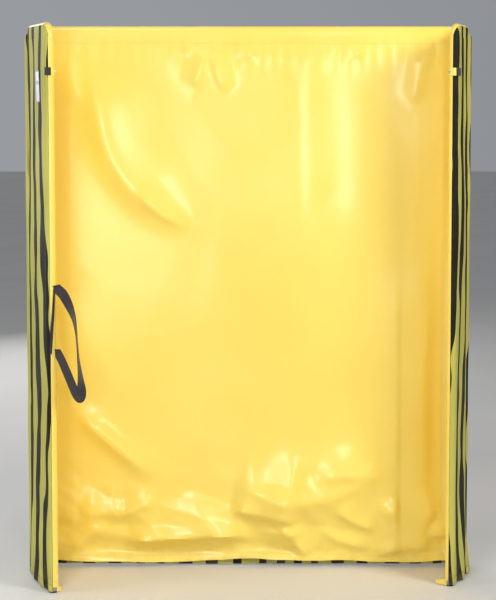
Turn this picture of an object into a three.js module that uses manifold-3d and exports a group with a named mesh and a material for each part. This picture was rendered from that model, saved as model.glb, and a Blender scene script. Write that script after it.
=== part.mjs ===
// A folding welding curtain screen: a wide back panel with a short wing hinged on each side.
// Every panel is a steel tube frame slipped into a cover, plain vinyl inside and striped fabric outside.
// Millimetres, +Z up. The open side faces -Y, and the origin is under the middle of the screen's box.
import * as THREE from "three";
import { mergeVertices } from "three/addons/utils/BufferGeometryUtils.js";
import Module from "manifold-3d";

// Overall sizes
const HEIGHT = 1829;
const BACK_SPAN = 1440; // between the axes of the two corner posts
const LEFT_WING_SPAN = 276; // hinge post axis to front post axis
const RIGHT_WING_SPAN = 200;
const LEFT_WING_OPEN = 70.3; // degrees from folded flat, as the screen stands
const RIGHT_WING_OPEN = 72.5;
const LOWER_RAIL_Z = 120;

// Tube frame
const TUBE_D = 25;
const TUBE_WALL = 1.5;
const BEND_R = 30; // centre line of a corner elbow
const SPIGOT_LENGTH = 35;
const SPIGOT_PLAY = 0.3; // all round, between a spigot and the tube it fills
const JOINT_GAP = 0.3; // between two pieces that meet end to end
const SADDLE_LENGTH = 9; // from the post's surface to the end of the rail
const FOOT_H = 6;
const FOOT_PLUG = 22;

// Covers
const SHEET_T = 1.2;
const SHEET_GAP = 1.8; // from the tube to the sheet
const INNER_HEM_Z = 20;
const OUTER_HEM_Z = 6;
const POCKET_LAP = 2.5; // degrees, between the rod pocket's edge and the outer cover
const SEAM_ANGLE = 22; // degrees past the front edge where the inner sheet meets the outer cover
const SEAM_GAP = 4; // degrees
const BACK_SHEET_SET_IN = 18; // from a corner post's axis to the edge of the inner curtain
const WING_SHEET_SET_IN = 20; // from a hinge post's axis to the edge of a wing's sheets
const SIDE_WRAP_PAST = 25; // degrees that the outer cover turns past the side of a corner post

// Hinges
const HINGE_GAP = 2; // between a folded wing's sheet and the back panel's sheet
const HINGE_PLAY = 0.3; // all round, between a bracket's ring and the hinge post
const RING_WALL = 3.7;
const BRACKET_H = 30;
const BRACKET_W = 20;
const LOWER_BRACKET_Z = 300;
const UPPER_BRACKET_FROM_TOP = 329;
const COLLAR_H = 12;
const COLLAR_GAP = 0.5;

// Screws
const SCREW_R = 2.5;
const SCREW_HEAD_R = 4.4;
const SCREW_HEAD_H = 2.2;
const SCREW_SUNK = 0.2; // below the post's surface
const SCREW_PLAY = 0.3;
const RAIL_SCREW_LENGTH = 38;
const SCREW_TO_BORE = 2; // from a bracket screw's point to the bore of the bracket's ring

// Webbing, snaps and label
const WEB_W = 28;
const WEB_T = 2.4;
const CLOTH_GAP = 0.4; // between a sewn-on piece and the sheet under it
const CLOSURE_FROM_TOP = 155;
const CLOSURE_W = 25;
const CLOSURE_TAIL = 22; // flat length on each side of the front edge
const SNAP_R = 7;
const SNAP_H = 3;
const LABEL = { w: 50, h: 100, t: 0.8, fromTop: 202, along: 190 };
const BACKING = { low: 765, high: 1012, halfAngle: 48 };
const HANDLE_IN = 40; // degrees that the hanging handle turns inward from the wing's plane
const HANDLE_CLEAR = 1.6;
const HANDLE_STEPS = 30;
const HANDLE_ROUTE = [
  [0, 987],
  [24, 972],
  [48, 938],
  [70, 890],
  [79, 835],
  [84, 775],
  [93, 705],
  [96, 660],
  [88, 642],
  [74, 655],
  [46, 708],
  [20, 762],
  [0, 790],
]; // out from the backing strip, and height
const LEFT_HEM_TAIL = 10; // how far the loose end of a wing's front hem turns inward on the floor
const RIGHT_HEM_TAIL = 40;
const HEM_TAIL = { low: 1.5, high: 18.5, t: 1.6 };

// Sizes that follow
const TUBE_R = TUBE_D / 2;
const BORE_R = TUBE_R - TUBE_WALL;
const SPIGOT_R = BORE_R - SPIGOT_PLAY;
const SHEET_IN = TUBE_R + SHEET_GAP;
const SHEET_OUT = SHEET_IN + SHEET_T;
const HINGE_OFFSET = 2 * SHEET_OUT + HINGE_GAP;
const RING_BORE = TUBE_R + HINGE_PLAY;
const RING_R = RING_BORE + RING_WALL;
const RAIL_Z = HEIGHT - SHEET_OUT;
const POST_TOP = RAIL_Z - BEND_R - JOINT_GAP;
const POST_BOTTOM = FOOT_H + JOINT_GAP;
const RAIL_START = TUBE_R + SADDLE_LENGTH + JOINT_GAP;
const HALF_SPAN = BACK_SPAN / 2;
const BRACKET_ZS = { lower: LOWER_BRACKET_Z, upper: HEIGHT - UPPER_BRACKET_FROM_TOP };
const BRACKET_SCREW_LENGTH = TUBE_R - SCREW_SUNK + HINGE_OFFSET - RING_BORE - SCREW_TO_BORE;
const CLOSURE_Z = HEIGHT - CLOSURE_FROM_TOP;
const ROUND = 20; // sides of a tube
const FINE = 12; // sides of a screw

const wasm = await Module();
wasm.setup();

const FINISH = {
  steel: { color: 0xb9bcbf, roughness: 0.38, metalness: 1 },
  nylon: { color: 0x1c1c1e, roughness: 0.6, metalness: 0 },
  rubber: { color: 0x141414, roughness: 0.85, metalness: 0 },
  zinc: { color: 0xd2d4d3, roughness: 0.3, metalness: 1 },
  vinyl: { color: 0xf6d24a, roughness: 0.3, metalness: 0 },
  stripe: { color: 0x8d8a2c, roughness: 0.7, metalness: 0 },
  webbing: { color: 0x18161a, roughness: 0.8, metalness: 0 },
  label: { color: 0xe4e4ec, roughness: 0.5, metalness: 0 },
};

const radians = THREE.MathUtils.degToRad;

/** A closed geometry as a manifold solid. */
function solidOf(geometry) {
  const bare = geometry.index ? geometry.toNonIndexed() : geometry.clone();
  bare.deleteAttribute("normal");
  bare.deleteAttribute("uv");
  const merged = mergeVertices(bare, 1e-4);
  return new wasm.Manifold(
    new wasm.Mesh({
      numProp: 3,
      vertProperties: merged.attributes.position.array,
      triVerts: new Uint32Array(merged.index.array),
    }),
  );
}

/** A manifold solid as a geometry. */
function geometryOf(solid) {
  const mesh = solid.getMesh();
  const geometry = new THREE.BufferGeometry();
  geometry.setAttribute("position", new THREE.BufferAttribute(mesh.vertProperties, 3));
  geometry.setIndex(new THREE.BufferAttribute(mesh.triVerts, 1));
  geometry.computeVertexNormals();
  return geometry;
}

function joined(first, ...others) {
  const sum = others.reduce((all, next) => all.add(solidOf(next)), solidOf(first));
  return geometryOf(sum);
}

function cut(body, ...tools) {
  const rest = tools.reduce((all, tool) => all.subtract(solidOf(tool)), solidOf(body));
  return geometryOf(rest);
}

function overlapOf(body, tool) {
  return geometryOf(solidOf(body).intersect(solidOf(tool)));
}

/** A box between two corners. */
function block(low, high) {
  const size = high.map((value, axis) => value - low[axis]);
  const middle = high.map((value, axis) => (value + low[axis]) / 2);
  return new THREE.BoxGeometry(...size).translate(...middle);
}

/** A round bar on the Z axis. */
function rod(radius, low, high, sides = ROUND) {
  const bar = new THREE.CylinderGeometry(radius, radius, high - low, sides);
  return bar.rotateX(Math.PI / 2).translate(0, 0, (low + high) / 2);
}

/** A profile of [radius, height] pairs turned about the Z axis. */
function turned(profile, sides = ROUND) {
  const points = profile.map(([r, z]) => new THREE.Vector2(r, z));
  return new THREE.LatheGeometry(points, sides).rotateX(Math.PI / 2);
}

/** A hollow tube on the Z axis. */
function tube(low, high) {
  return turned([
    [TUBE_R, low],
    [TUBE_R, high],
    [BORE_R, high],
    [BORE_R, low],
    [TUBE_R, low],
  ]);
}

/** Part of a ring about the Z axis, between two angles in degrees from +X. */
function ringSector(inner, outer, from, to, low, high) {
  const shape = new THREE.Shape();
  shape.absarc(0, 0, outer, radians(from), radians(to), false);
  shape.absarc(0, 0, inner, radians(to), radians(from), true);
  shape.closePath();
  const settings = { depth: high - low, bevelEnabled: false, curveSegments: 8 };
  return new THREE.ExtrudeGeometry(shape, settings).translate(0, 0, low);
}

/** Lays a geometry made along +Z down along +X. */
function alongX(geometry) {
  return geometry.rotateY(Math.PI / 2);
}

function named(name, finish, geometry, place = [0, 0, 0], turnZ = 0) {
  const mesh = new THREE.Mesh(geometry, new THREE.MeshStandardMaterial(FINISH[finish]));
  mesh.name = name;
  mesh.position.set(...place);
  mesh.rotation.z = turnZ;
  return mesh;
}

/** A post from its foot to its elbow, drilled for screws that point along each turn given in degrees. */
function drilledPost(holes) {
  const tools = holes.flatMap(({ z, turn }) => {
    const head = alongX(rod(SCREW_HEAD_R + SCREW_PLAY, -TUBE_R - 1, 0, FINE));
    const shank = alongX(rod(SCREW_R + SCREW_PLAY, 0, TUBE_R + 1, FINE));
    return [head, shank].map((tool) => tool.rotateZ(radians(turn)).translate(0, 0, z));
  });
  return cut(tube(POST_BOTTOM, POST_TOP), ...tools);
}

/** A countersunk screw along +X whose head sinks into the far side of a post standing on the origin. */
function crossScrew(length) {
  const face = -TUBE_R + SCREW_SUNK;
  const profile = [
    [0, face],
    [SCREW_HEAD_R, face],
    [SCREW_R, face + SCREW_HEAD_H],
    [SCREW_R, face + length],
    [0, face + length],
  ];
  return alongX(turned(profile, FINE));
}

/** A corner elbow about its bend centre, from a post below at +X to a rail above that runs to -X. */
function elbow() {
  const circle = Array.from({ length: ROUND / 2 + 1 }, (_, i) => {
    const angle = (i / (ROUND / 2)) * 2 * Math.PI;
    return new THREE.Vector2(BEND_R + TUBE_R * Math.cos(angle), TUBE_R * Math.sin(angle));
  });
  const hoop = new THREE.LatheGeometry(circle, 32);
  const reach = BEND_R + TUBE_D;
  const quarter = overlapOf(hoop, block([0, -reach, 0], [reach, reach, reach]));
  const downSpigot = rod(SPIGOT_R, -SPIGOT_LENGTH, 3, ROUND / 2).translate(BEND_R, 0, 0);
  const sideSpigot = alongX(rod(SPIGOT_R, -SPIGOT_LENGTH, 3, ROUND / 2)).translate(0, 0, BEND_R);
  return joined(quarter, downSpigot, sideSpigot);
}

/** The cover over the outside of an elbow, about the same bend centre. */
function elbowCover() {
  const sides = 6;
  const arc = (radius, from, to) =>
    Array.from({ length: sides + 1 }, (_, i) => {
      const angle = from + ((to - from) * i) / sides;
      return new THREE.Vector2(BEND_R + radius * Math.cos(angle), radius * Math.sin(angle));
    });
  const half = Math.PI / 2;
  const profile = [...arc(SHEET_OUT, -half, half), ...arc(SHEET_IN, half, -half)];
  const hoop = new THREE.LatheGeometry([...profile, profile[0]], ROUND);
  const reach = BEND_R + 2 * TUBE_D;
  return overlapOf(hoop, block([0, -reach, 0], [reach, reach, reach]));
}

/** The fitting that ends a cross rail against a post on the origin, with its spigot along +X. */
function saddle() {
  const end = TUBE_R + SADDLE_LENGTH;
  const body = joined(
    alongX(rod(TUBE_R, TUBE_R / 3, end)),
    alongX(rod(SPIGOT_R, end - 1, end + SPIGOT_LENGTH)),
  );
  const post = rod(TUBE_R + JOINT_GAP, -TUBE_D, TUBE_D);
  const thread = alongX(rod(SCREW_R + SCREW_PLAY, 0, end + SPIGOT_LENGTH / 2, FINE));
  return cut(body, post, thread);
}

/** A foot plug standing on the floor, with its plug up inside the post. */
function foot() {
  return turned([
    [0, 0],
    [TUBE_R - 1.5, 0],
    [TUBE_R, 1.5],
    [TUBE_R, FOOT_H],
    [SPIGOT_R, FOOT_H],
    [SPIGOT_R, FOOT_H + FOOT_PLUG],
    [0, FOOT_H + FOOT_PLUG],
  ]);
}

/** A hinge bracket on a corner post at the origin, its ring round the hinge post in front of it. */
function hingeBracket() {
  const low = -BRACKET_H / 2;
  const high = BRACKET_H / 2;
  const ring = rod(RING_R, low, high).translate(0, -HINGE_OFFSET, 0);
  const arm = block([-BRACKET_W / 2, -HINGE_OFFSET, low], [BRACKET_W / 2, 0, high]);
  const bore = rod(RING_BORE, low - 1, high + 1).translate(0, -HINGE_OFFSET, 0);
  const seat = rod(TUBE_R + JOINT_GAP, low - 1, high + 1);
  const reach = HINGE_OFFSET - TUBE_R;
  const thread = alongX(rod(SCREW_R + SCREW_PLAY, 0, reach, FINE)).rotateZ(-Math.PI / 2);
  return cut(joined(ring, arm), bore, seat, thread);
}

function stopCollar() {
  return cut(rod(RING_R, 0, COLLAR_H), rod(TUBE_R + JOINT_GAP / 2, -1, COLLAR_H + 1));
}

/** The back panel's inner curtain: a hanging sheet with a rod pocket over the top rail. */
function backInnerCurtain() {
  const half = HALF_SPAN - BACK_SHEET_SET_IN;
  const pocketHalf = HALF_SPAN - BEND_R - JOINT_GAP;
  const bendZ = RAIL_Z - BEND_R;
  const sheet = block([-half, -SHEET_OUT, INNER_HEM_Z], [half, -SHEET_IN, bendZ]);
  const upper = block(
    [-pocketHalf, -SHEET_OUT, bendZ - 1],
    [pocketHalf, -SHEET_IN, RAIL_Z + 0.5],
  );
  // The pocket's arc is drawn about Z and laid along X: its own +X then points down.
  const pocket = alongX(
    ringSector(SHEET_IN, SHEET_OUT, 90 + POCKET_LAP, 270, -pocketHalf, pocketHalf),
  ).translate(0, 0, RAIL_Z);
  return joined(sheet, upper, pocket);
}

/** The back panel's outer cover: a sheet behind the frame that wraps round both corner posts. */
function backOuterCover() {
  const centre = HALF_SPAN - BEND_R;
  const shape = new THREE.Shape();
  shape.moveTo(-HALF_SPAN, OUTER_HEM_Z);
  shape.lineTo(HALF_SPAN, OUTER_HEM_Z);
  shape.lineTo(HALF_SPAN, RAIL_Z - BEND_R);
  shape.absarc(centre, RAIL_Z - BEND_R, BEND_R, 0, Math.PI / 2, false);
  shape.lineTo(-centre, RAIL_Z);
  shape.absarc(-centre, RAIL_Z - BEND_R, BEND_R, Math.PI / 2, Math.PI, false);
  shape.closePath();
  const settings = { depth: SHEET_T, bevelEnabled: false, curveSegments: 8 };
  const sheet = new THREE.ExtrudeGeometry(shape, settings)
    .rotateX(Math.PI / 2)
    .translate(0, SHEET_OUT, 0);
  const wrapEnd = RAIL_Z - BEND_R;
  const wraps = [1, -1].flatMap((side) => {
    const from = side > 0 ? -SIDE_WRAP_PAST : 90;
    const to = side > 0 ? 90 : 180 + SIDE_WRAP_PAST;
    const wrap = ringSector(SHEET_IN, SHEET_OUT, from, to, OUTER_HEM_Z, wrapEnd);
    const corner = elbowCover().rotateZ(side > 0 ? 0 : Math.PI);
    return [
      wrap.translate(side * HALF_SPAN, 0, 0),
      corner.translate(side * centre, 0, RAIL_Z - BEND_R),
    ];
  });
  return joined(sheet, ...wraps);
}

/** A wing's inner curtain, drawn with the inside towards +Y: sheet, rod pocket, front wrap and hem tail. */
function wingInnerCurtain(span, hemTail) {
  const sheet = block(
    [WING_SHEET_SET_IN, SHEET_IN, INNER_HEM_Z],
    [span, SHEET_OUT, RAIL_Z - BEND_R],
  );
  const upper = block(
    [BEND_R, SHEET_IN, RAIL_Z - BEND_R - 1],
    [span - BEND_R, SHEET_OUT, RAIL_Z + 0.5],
  );
  const pocket = alongX(
    ringSector(SHEET_IN, SHEET_OUT, 90, 270 - POCKET_LAP, BEND_R, span - BEND_R + 1),
  ).translate(0, 0, RAIL_Z);
  const wrap = ringSector(
    SHEET_IN,
    SHEET_OUT,
    -SEAM_ANGLE,
    90,
    INNER_HEM_Z,
    RAIL_Z - BEND_R + 1,
  ).translate(span, 0, 0);
  const front = elbowCover().translate(span - BEND_R, 0, RAIL_Z - BEND_R);
  const tailX = SHEET_IN * 0.6;
  const tailNear = tailX - HEM_TAIL.t / 2;
  const tailStart = Math.sqrt(SHEET_IN ** 2 - tailNear ** 2) + JOINT_GAP;
  const tail = block(
    [span + tailNear, tailStart, HEM_TAIL.low],
    [span + tailX + HEM_TAIL.t / 2, SHEET_OUT + hemTail, HEM_TAIL.high],
  );
  const drop = ringSector(SHEET_IN, SHEET_OUT, 35, 70, HEM_TAIL.low, INNER_HEM_Z + 1);
  return joined(sheet, upper, pocket, wrap, front, tail, drop.translate(span, 0, 0));
}

/** A wing's outer cover, drawn with the outside towards -Y. */
function wingOuterCover(span) {
  const low = -SHEET_OUT;
  const sheet = block(
    [WING_SHEET_SET_IN, low, OUTER_HEM_Z],
    [span, -SHEET_IN, RAIL_Z - BEND_R - 1],
  );
  const upper = block(
    [BEND_R, low, RAIL_Z - BEND_R - 2],
    [span - BEND_R - 1, -SHEET_IN, RAIL_Z],
  );
  const wrap = ringSector(
    SHEET_IN,
    SHEET_OUT,
    -90,
    -SEAM_ANGLE - SEAM_GAP,
    OUTER_HEM_Z,
    RAIL_Z - BEND_R - 1,
  ).translate(span, 0, 0);
  return joined(sheet, upper, wrap);
}

/** A webbing tab round the front edge of a wing, its post on the origin. */
function closureStrap() {
  const inner = SHEET_OUT + CLOTH_GAP;
  const outer = inner + WEB_T;
  const low = CLOSURE_Z - CLOSURE_W / 2;
  const high = CLOSURE_Z + CLOSURE_W / 2;
  const bend = ringSector(inner, outer, -90, 90, low, high);
  const tails = [-1, 1].map((side) => {
    const near = Math.min(side * inner, side * outer);
    const far = Math.max(side * inner, side * outer);
    return block([-CLOSURE_TAIL, near, low], [0.5, far, high]);
  });
  return joined(bend, ...tails);
}

function snapButton() {
  return turned([
    [0, 0],
    [SNAP_R, 0],
    [SNAP_R, SNAP_H * 0.5],
    [SNAP_R * 0.75, SNAP_H],
    [0, SNAP_H],
  ]);
}

/** The hanging loop of webbing, drawn out along +X from the front post's axis. */
function handleLoop() {
  const start = SHEET_OUT + CLOTH_GAP + WEB_T + HANDLE_CLEAR;
  const points = HANDLE_ROUTE.map(([out, z]) => new THREE.Vector3(start + out, 0, z));
  const route = new THREE.CatmullRomCurve3(points, false, "centripetal");
  const section = new THREE.Shape();
  section.moveTo(-WEB_W / 2, -WEB_T / 2);
  section.lineTo(WEB_W / 2, -WEB_T / 2);
  section.lineTo(WEB_W / 2, WEB_T / 2);
  section.lineTo(-WEB_W / 2, WEB_T / 2);
  section.closePath();
  const settings = { steps: HANDLE_STEPS, extrudePath: route, bevelEnabled: false };
  return new THREE.ExtrudeGeometry(section, settings);
}

/** The fixed frame, its curtain and cover, and the hinge brackets on both corner posts. */
function backPanel() {
  const panel = new THREE.Group();
  const centre = HALF_SPAN - BEND_R;
  const bendZ = RAIL_Z - BEND_R;
  const topRail = alongX(tube(-centre + JOINT_GAP, centre - JOINT_GAP));
  const lowerHalf = HALF_SPAN - RAIL_START;
  const bracketHoles = Object.values(BRACKET_ZS).map((z) => ({ z, turn: -90 }));
  panel.add(named("back_top_rail", "steel", topRail, [0, 0, RAIL_Z]));
  panel.add(
    named("back_lower_rail", "steel", alongX(tube(-lowerHalf, lowerHalf)), [0, 0, LOWER_RAIL_Z]),
  );
  for (const [label, side] of [["left", -1], ["right", 1]]) {
    const x = side * HALF_SPAN;
    const turnIn = side > 0 ? Math.PI : 0;
    const holes = [...bracketHoles, { z: LOWER_RAIL_Z, turn: side > 0 ? 180 : 0 }];
    panel.add(named(`${label}_corner_post`, "steel", drilledPost(holes), [x, 0, 0]));
    panel.add(named(`${label}_corner_foot`, "rubber", foot(), [x, 0, 0]));
    panel.add(
      named(`${label}_top_elbow`, "nylon", elbow(), [side * centre, 0, bendZ], turnIn + Math.PI),
    );
    panel.add(
      named(`${label}_lower_saddle`, "nylon", saddle(), [x, 0, LOWER_RAIL_Z], turnIn),
    );
    const railScrew = crossScrew(RAIL_SCREW_LENGTH);
    panel.add(named(`${label}_lower_screw`, "zinc", railScrew, [x, 0, LOWER_RAIL_Z], turnIn));
    for (const [level, z] of Object.entries(BRACKET_ZS)) {
      const name = `${label}_${level}_hinge_bracket`;
      panel.add(named(name, "nylon", hingeBracket(), [x, 0, z]));
      const screw = crossScrew(BRACKET_SCREW_LENGTH);
      panel.add(named(`${name}_screw`, "zinc", screw, [x, 0, z], -Math.PI / 2));
    }
  }
  panel.add(named("back_inner_curtain", "vinyl", backInnerCurtain()));
  panel.add(named("back_outer_cover", "stripe", backOuterCover()));
  return panel;
}

/** One wing, drawn along +X from its hinge post, with its inside towards inSide times +Y. */
function wing(label, span, inSide, hemTail) {
  const panel = new THREE.Group();
  const bendZ = RAIL_Z - BEND_R;
  const add = (part, ...rest) => panel.add(named(`${label}_wing_${part}`, ...rest));
  const facing = (geometry) => (inSide > 0 ? geometry : mirroredInY(geometry));
  add("hinge_post", "steel", drilledPost([{ z: LOWER_RAIL_Z, turn: 0 }]));
  add("front_post", "steel", drilledPost([{ z: LOWER_RAIL_Z, turn: 180 }]), [span, 0, 0]);
  add("hinge_foot", "rubber", foot());
  add("front_foot", "rubber", foot(), [span, 0, 0]);
  const railEnd = span - BEND_R - JOINT_GAP;
  add("top_rail", "steel", alongX(tube(BEND_R + JOINT_GAP, railEnd)), [0, 0, RAIL_Z]);
  const lowerRail = alongX(tube(RAIL_START, span - RAIL_START));
  add("lower_rail", "steel", lowerRail, [0, 0, LOWER_RAIL_Z]);
  add("front_elbow", "nylon", elbow(), [span - BEND_R, 0, bendZ]);
  add("hinge_elbow", "nylon", elbow(), [BEND_R, 0, bendZ], Math.PI);
  add("hinge_saddle", "nylon", saddle(), [0, 0, LOWER_RAIL_Z]);
  add("front_saddle", "nylon", saddle(), [span, 0, LOWER_RAIL_Z], Math.PI);
  add("hinge_screw", "zinc", crossScrew(RAIL_SCREW_LENGTH), [0, 0, LOWER_RAIL_Z]);
  add("front_screw", "zinc", crossScrew(RAIL_SCREW_LENGTH), [span, 0, LOWER_RAIL_Z], Math.PI);
  const collarZ = BRACKET_ZS.lower + BRACKET_H / 2 + COLLAR_GAP;
  add("stop_collar", "nylon", stopCollar(), [0, 0, collarZ]);
  add("inner_curtain", "vinyl", facing(wingInnerCurtain(span, hemTail)));
  add("outer_cover", "stripe", facing(wingOuterCover(span)));
  add("closure_strap", "webbing", closureStrap(), [span, 0, 0]);
  const snap = snapButton().rotateX(-inSide * (Math.PI / 2));
  const snapY = inSide * (SHEET_OUT + CLOTH_GAP + WEB_T + JOINT_GAP);
  add("closure_snap", "zinc", snap, [span - CLOSURE_TAIL / 2, snapY, CLOSURE_Z]);
  return panel;
}

/** The same closed shape mirrored across the XZ plane, with its faces turned back outwards. */
function mirroredInY(geometry) {
  const mirrored = geometry.toNonIndexed().scale(1, -1, 1);
  const { array } = mirrored.attributes.position;
  for (let i = 0; i < array.length; i += 9) {
    const second = array.slice(i + 3, i + 6);
    array.copyWithin(i + 3, i + 6, i + 9);
    array.set(second, i + 6);
  }
  return mirrored;
}

/** The left wing's own extras: the handle's backing strip, the handle and the blank label. */
function leftWingExtras(span) {
  const extras = new THREE.Group();
  const inner = SHEET_OUT + CLOTH_GAP;
  const { low, high, halfAngle } = BACKING;
  const strip = ringSector(inner, inner + WEB_T, -halfAngle, halfAngle, low, high);
  extras.add(named("handle_backing_strip", "webbing", strip, [span, 0, 0]));
  extras.add(
    named("carry_handle", "webbing", handleLoop(), [span, 0, 0], radians(HANDLE_IN)),
  );
  const face = -SHEET_OUT - CLOTH_GAP;
  const { w, h, t, fromTop, along } = LABEL;
  const z = HEIGHT - fromTop;
  const patch = block([along - w / 2, face - t, z - h / 2], [along + w / 2, face, z + h / 2]);
  extras.add(named("blank_label", "label", patch));
  return extras;
}

const screen = new THREE.Group();
screen.add(backPanel());

const leftWing = wing("left", LEFT_WING_SPAN, 1, LEFT_HEM_TAIL);
leftWing.add(leftWingExtras(LEFT_WING_SPAN));
leftWing.position.set(-HALF_SPAN, -HINGE_OFFSET, 0);
leftWing.rotation.z = -radians(LEFT_WING_OPEN);
screen.add(leftWing);

const rightWing = wing("right", RIGHT_WING_SPAN, -1, RIGHT_HEM_TAIL);
rightWing.position.set(HALF_SPAN, -HINGE_OFFSET, 0);
rightWing.rotation.z = radians(RIGHT_WING_OPEN) - Math.PI;
screen.add(rightWing);

// The origin goes under the middle of the whole box.
screen.updateMatrixWorld(true);
const middle = new THREE.Box3().setFromObject(screen, true).getCenter(new THREE.Vector3());
screen.position.set(-middle.x, -middle.y, 0);

export default screen;
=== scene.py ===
"""A folding welding curtain screen: vinyl, striped fabric, webbing and hardware dressed over its frame.

Everything is in metres. The booth opens towards -Y and the floor is at Z = 0.
"""

import logging
import math
from dataclasses import dataclass, field
from enum import Enum
from functools import cached_property
from typing import Callable, Sequence

import bpy
import numpy as np
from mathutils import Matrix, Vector


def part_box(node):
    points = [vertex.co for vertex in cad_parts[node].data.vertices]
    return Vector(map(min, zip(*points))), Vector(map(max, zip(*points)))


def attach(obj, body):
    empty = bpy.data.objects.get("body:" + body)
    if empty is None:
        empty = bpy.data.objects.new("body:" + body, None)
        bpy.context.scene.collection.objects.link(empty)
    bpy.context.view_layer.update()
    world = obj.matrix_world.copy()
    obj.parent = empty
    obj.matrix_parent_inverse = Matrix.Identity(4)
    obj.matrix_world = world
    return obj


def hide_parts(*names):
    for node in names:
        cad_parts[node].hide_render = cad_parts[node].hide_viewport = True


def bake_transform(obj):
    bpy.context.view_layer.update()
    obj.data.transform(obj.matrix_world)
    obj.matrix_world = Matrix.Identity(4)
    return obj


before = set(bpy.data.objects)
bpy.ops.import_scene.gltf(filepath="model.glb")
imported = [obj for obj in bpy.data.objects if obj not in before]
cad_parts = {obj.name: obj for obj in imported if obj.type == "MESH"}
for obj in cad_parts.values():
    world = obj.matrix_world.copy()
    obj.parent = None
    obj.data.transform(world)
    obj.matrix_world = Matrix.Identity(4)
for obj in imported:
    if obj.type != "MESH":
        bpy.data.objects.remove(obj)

LOG = logging.getLogger("welding_screen")

Array = np.ndarray
Colour = tuple[float, float, float]

SHEET_R = 0.0149  # from the middle of a tube to the middle of the sheet over it
BEND_R = 0.030  # centre line of a corner elbow
WEB_T = 0.0024
CLOTH_GAP = 0.0004
UP = Vector((0.0, 0.0, 1.0))


def smooth(low: float, high: float, value: Array) -> Array:
    """Rises smoothly from 0 at low to 1 at high.

    Args:
        low: Where the rise starts.
        high: Where it ends; it may be below low, which turns the rise into a fall.
        value: The places to evaluate.

    Returns:
        The share, from 0 to 1, at each place.
    """
    t = np.clip((value - low) / (high - low), 0.0, 1.0)
    return t * t * (3.0 - 2.0 * t)


@dataclass(frozen=True)
class Ripple:
    """Smooth, repeatable noise over a sheet, between about -1 and 1."""

    seed: int
    cell_u: float
    cell_v: float

    def at(self, u: Array, v: Array) -> Array:
        """Evaluates the noise.

        Args:
            u: Places across the sheet, in metres.
            v: Places up the sheet, in metres.

        Returns:
            The noise at each place.
        """
        lattice = np.random.default_rng(self.seed).uniform(-1.0, 1.0, (97, 89))
        x, y = u / self.cell_u + 31.0, v / self.cell_v + 23.0
        i, j = np.floor(x).astype(int), np.floor(y).astype(int)
        fx, fy = x - i, y - j
        fx = fx * fx * fx * (fx * (fx * 6 - 15) + 10)
        fy = fy * fy * fy * (fy * (fy * 6 - 15) + 10)

        def corner(di: int, dj: int) -> Array:
            """The lattice value at one corner of each cell."""
            return lattice[(i + di) % 97, (j + dj) % 89]

        low = corner(0, 0) * (1 - fx) + corner(1, 0) * fx
        high = corner(0, 1) * (1 - fx) + corner(1, 1) * fx
        return low * (1 - fy) + high * fy


@dataclass(frozen=True)
class Facets:
    """Flat triangular facets that meet in creases, as in film that has been crushed and shaken out."""

    seed: int
    cell_u: float
    cell_v: float

    def at(self, u: Array, v: Array) -> Array:
        """Evaluates the facets.

        Args:
            u: Places across the sheet, in metres.
            v: Places up the sheet, in metres.

        Returns:
            A height between about -1 and 1 at each place.
        """
        lattice = np.random.default_rng(self.seed).uniform(-1.0, 1.0, (97, 89))
        bend = Ripple(self.seed + 1, 2.1 * self.cell_u, 2.1 * self.cell_v)
        lean = Ripple(self.seed + 2, 2.1 * self.cell_u, 2.1 * self.cell_v)
        x = (u + 0.4 * v) / self.cell_u + 31.0 + 0.7 * bend.at(u, v)
        y = (v - 0.15 * u) / self.cell_v + 23.0 + 0.7 * lean.at(u, v)
        i, j = np.floor(x).astype(int), np.floor(y).astype(int)
        fx, fy = x - i, y - j
        a, b = lattice[i % 97, j % 89], lattice[(i + 1) % 97, j % 89]
        c, d = lattice[i % 97, (j + 1) % 89], lattice[(i + 1) % 97, (j + 1) % 89]
        lower = a + fx * (b - a) + fy * (c - a)
        upper = d + (1 - fx) * (c - d) + (1 - fy) * (b - d)
        return np.where(fx + fy < 1, lower, upper)


@dataclass(frozen=True)
class Fold:
    """A raised crease along a line of (across, up) points on a sheet.

    The left width is on the left hand when looking from the first point to the last.
    """

    line: tuple[tuple[float, float], ...]
    rise: float
    left: float
    right: float
    sharp: float = 1.4
    fade: float = 0.3
    crest: float = 0.004

    def height(self, u: Array, v: Array) -> Array:
        """How far the sheet stands out along this fold.

        Args:
            u: Places across the sheet.
            v: Places up the sheet.

        Returns:
            The height at each place, in metres.
        """
        points = curve_through(np.array(self.line), 6 * len(self.line))
        lengths = np.linalg.norm(np.diff(points, axis=0), axis=1)
        starts = np.concatenate([[0.0], np.cumsum(lengths)])
        nearest = np.full(u.shape, 1e9)
        share = np.zeros(u.shape)
        hand = np.zeros(u.shape)
        for i, length in enumerate(lengths):
            du, dv = (points[i + 1] - points[i]) / length
            along = np.clip((u - points[i, 0]) * du + (v - points[i, 1]) * dv, 0.0, length)
            off_u = u - points[i, 0] - along * du
            off_v = v - points[i, 1] - along * dv
            away = np.hypot(off_u, off_v)
            closer = away < nearest
            nearest = np.where(closer, away, nearest)
            share = np.where(closer, (starts[i] + along) / starts[-1], share)
            hand = np.where(closer, du * off_v - dv * off_u, hand)
        width = np.where(hand > 0, self.left, self.right)
        nearest = np.hypot(nearest, self.crest) - self.crest
        body = np.exp(-((nearest / width) ** self.sharp))
        ends = smooth(0.0, self.fade, share) * smooth(1.0, 1.0 - self.fade, share)
        return self.rise * body * (0.08 + 0.92 * ends)


@dataclass(frozen=True)
class Swell:
    """A broad rounded bulge or hollow, centred at (across, up)."""

    u: float
    v: float
    wide: float
    tall: float
    rise: float

    def height(self, u: Array, v: Array) -> Array:
        """How far the sheet stands out here, in metres."""
        return self.rise * np.exp(-(((u - self.u) / self.wide) ** 2) - ((v - self.v) / self.tall) ** 2)


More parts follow.
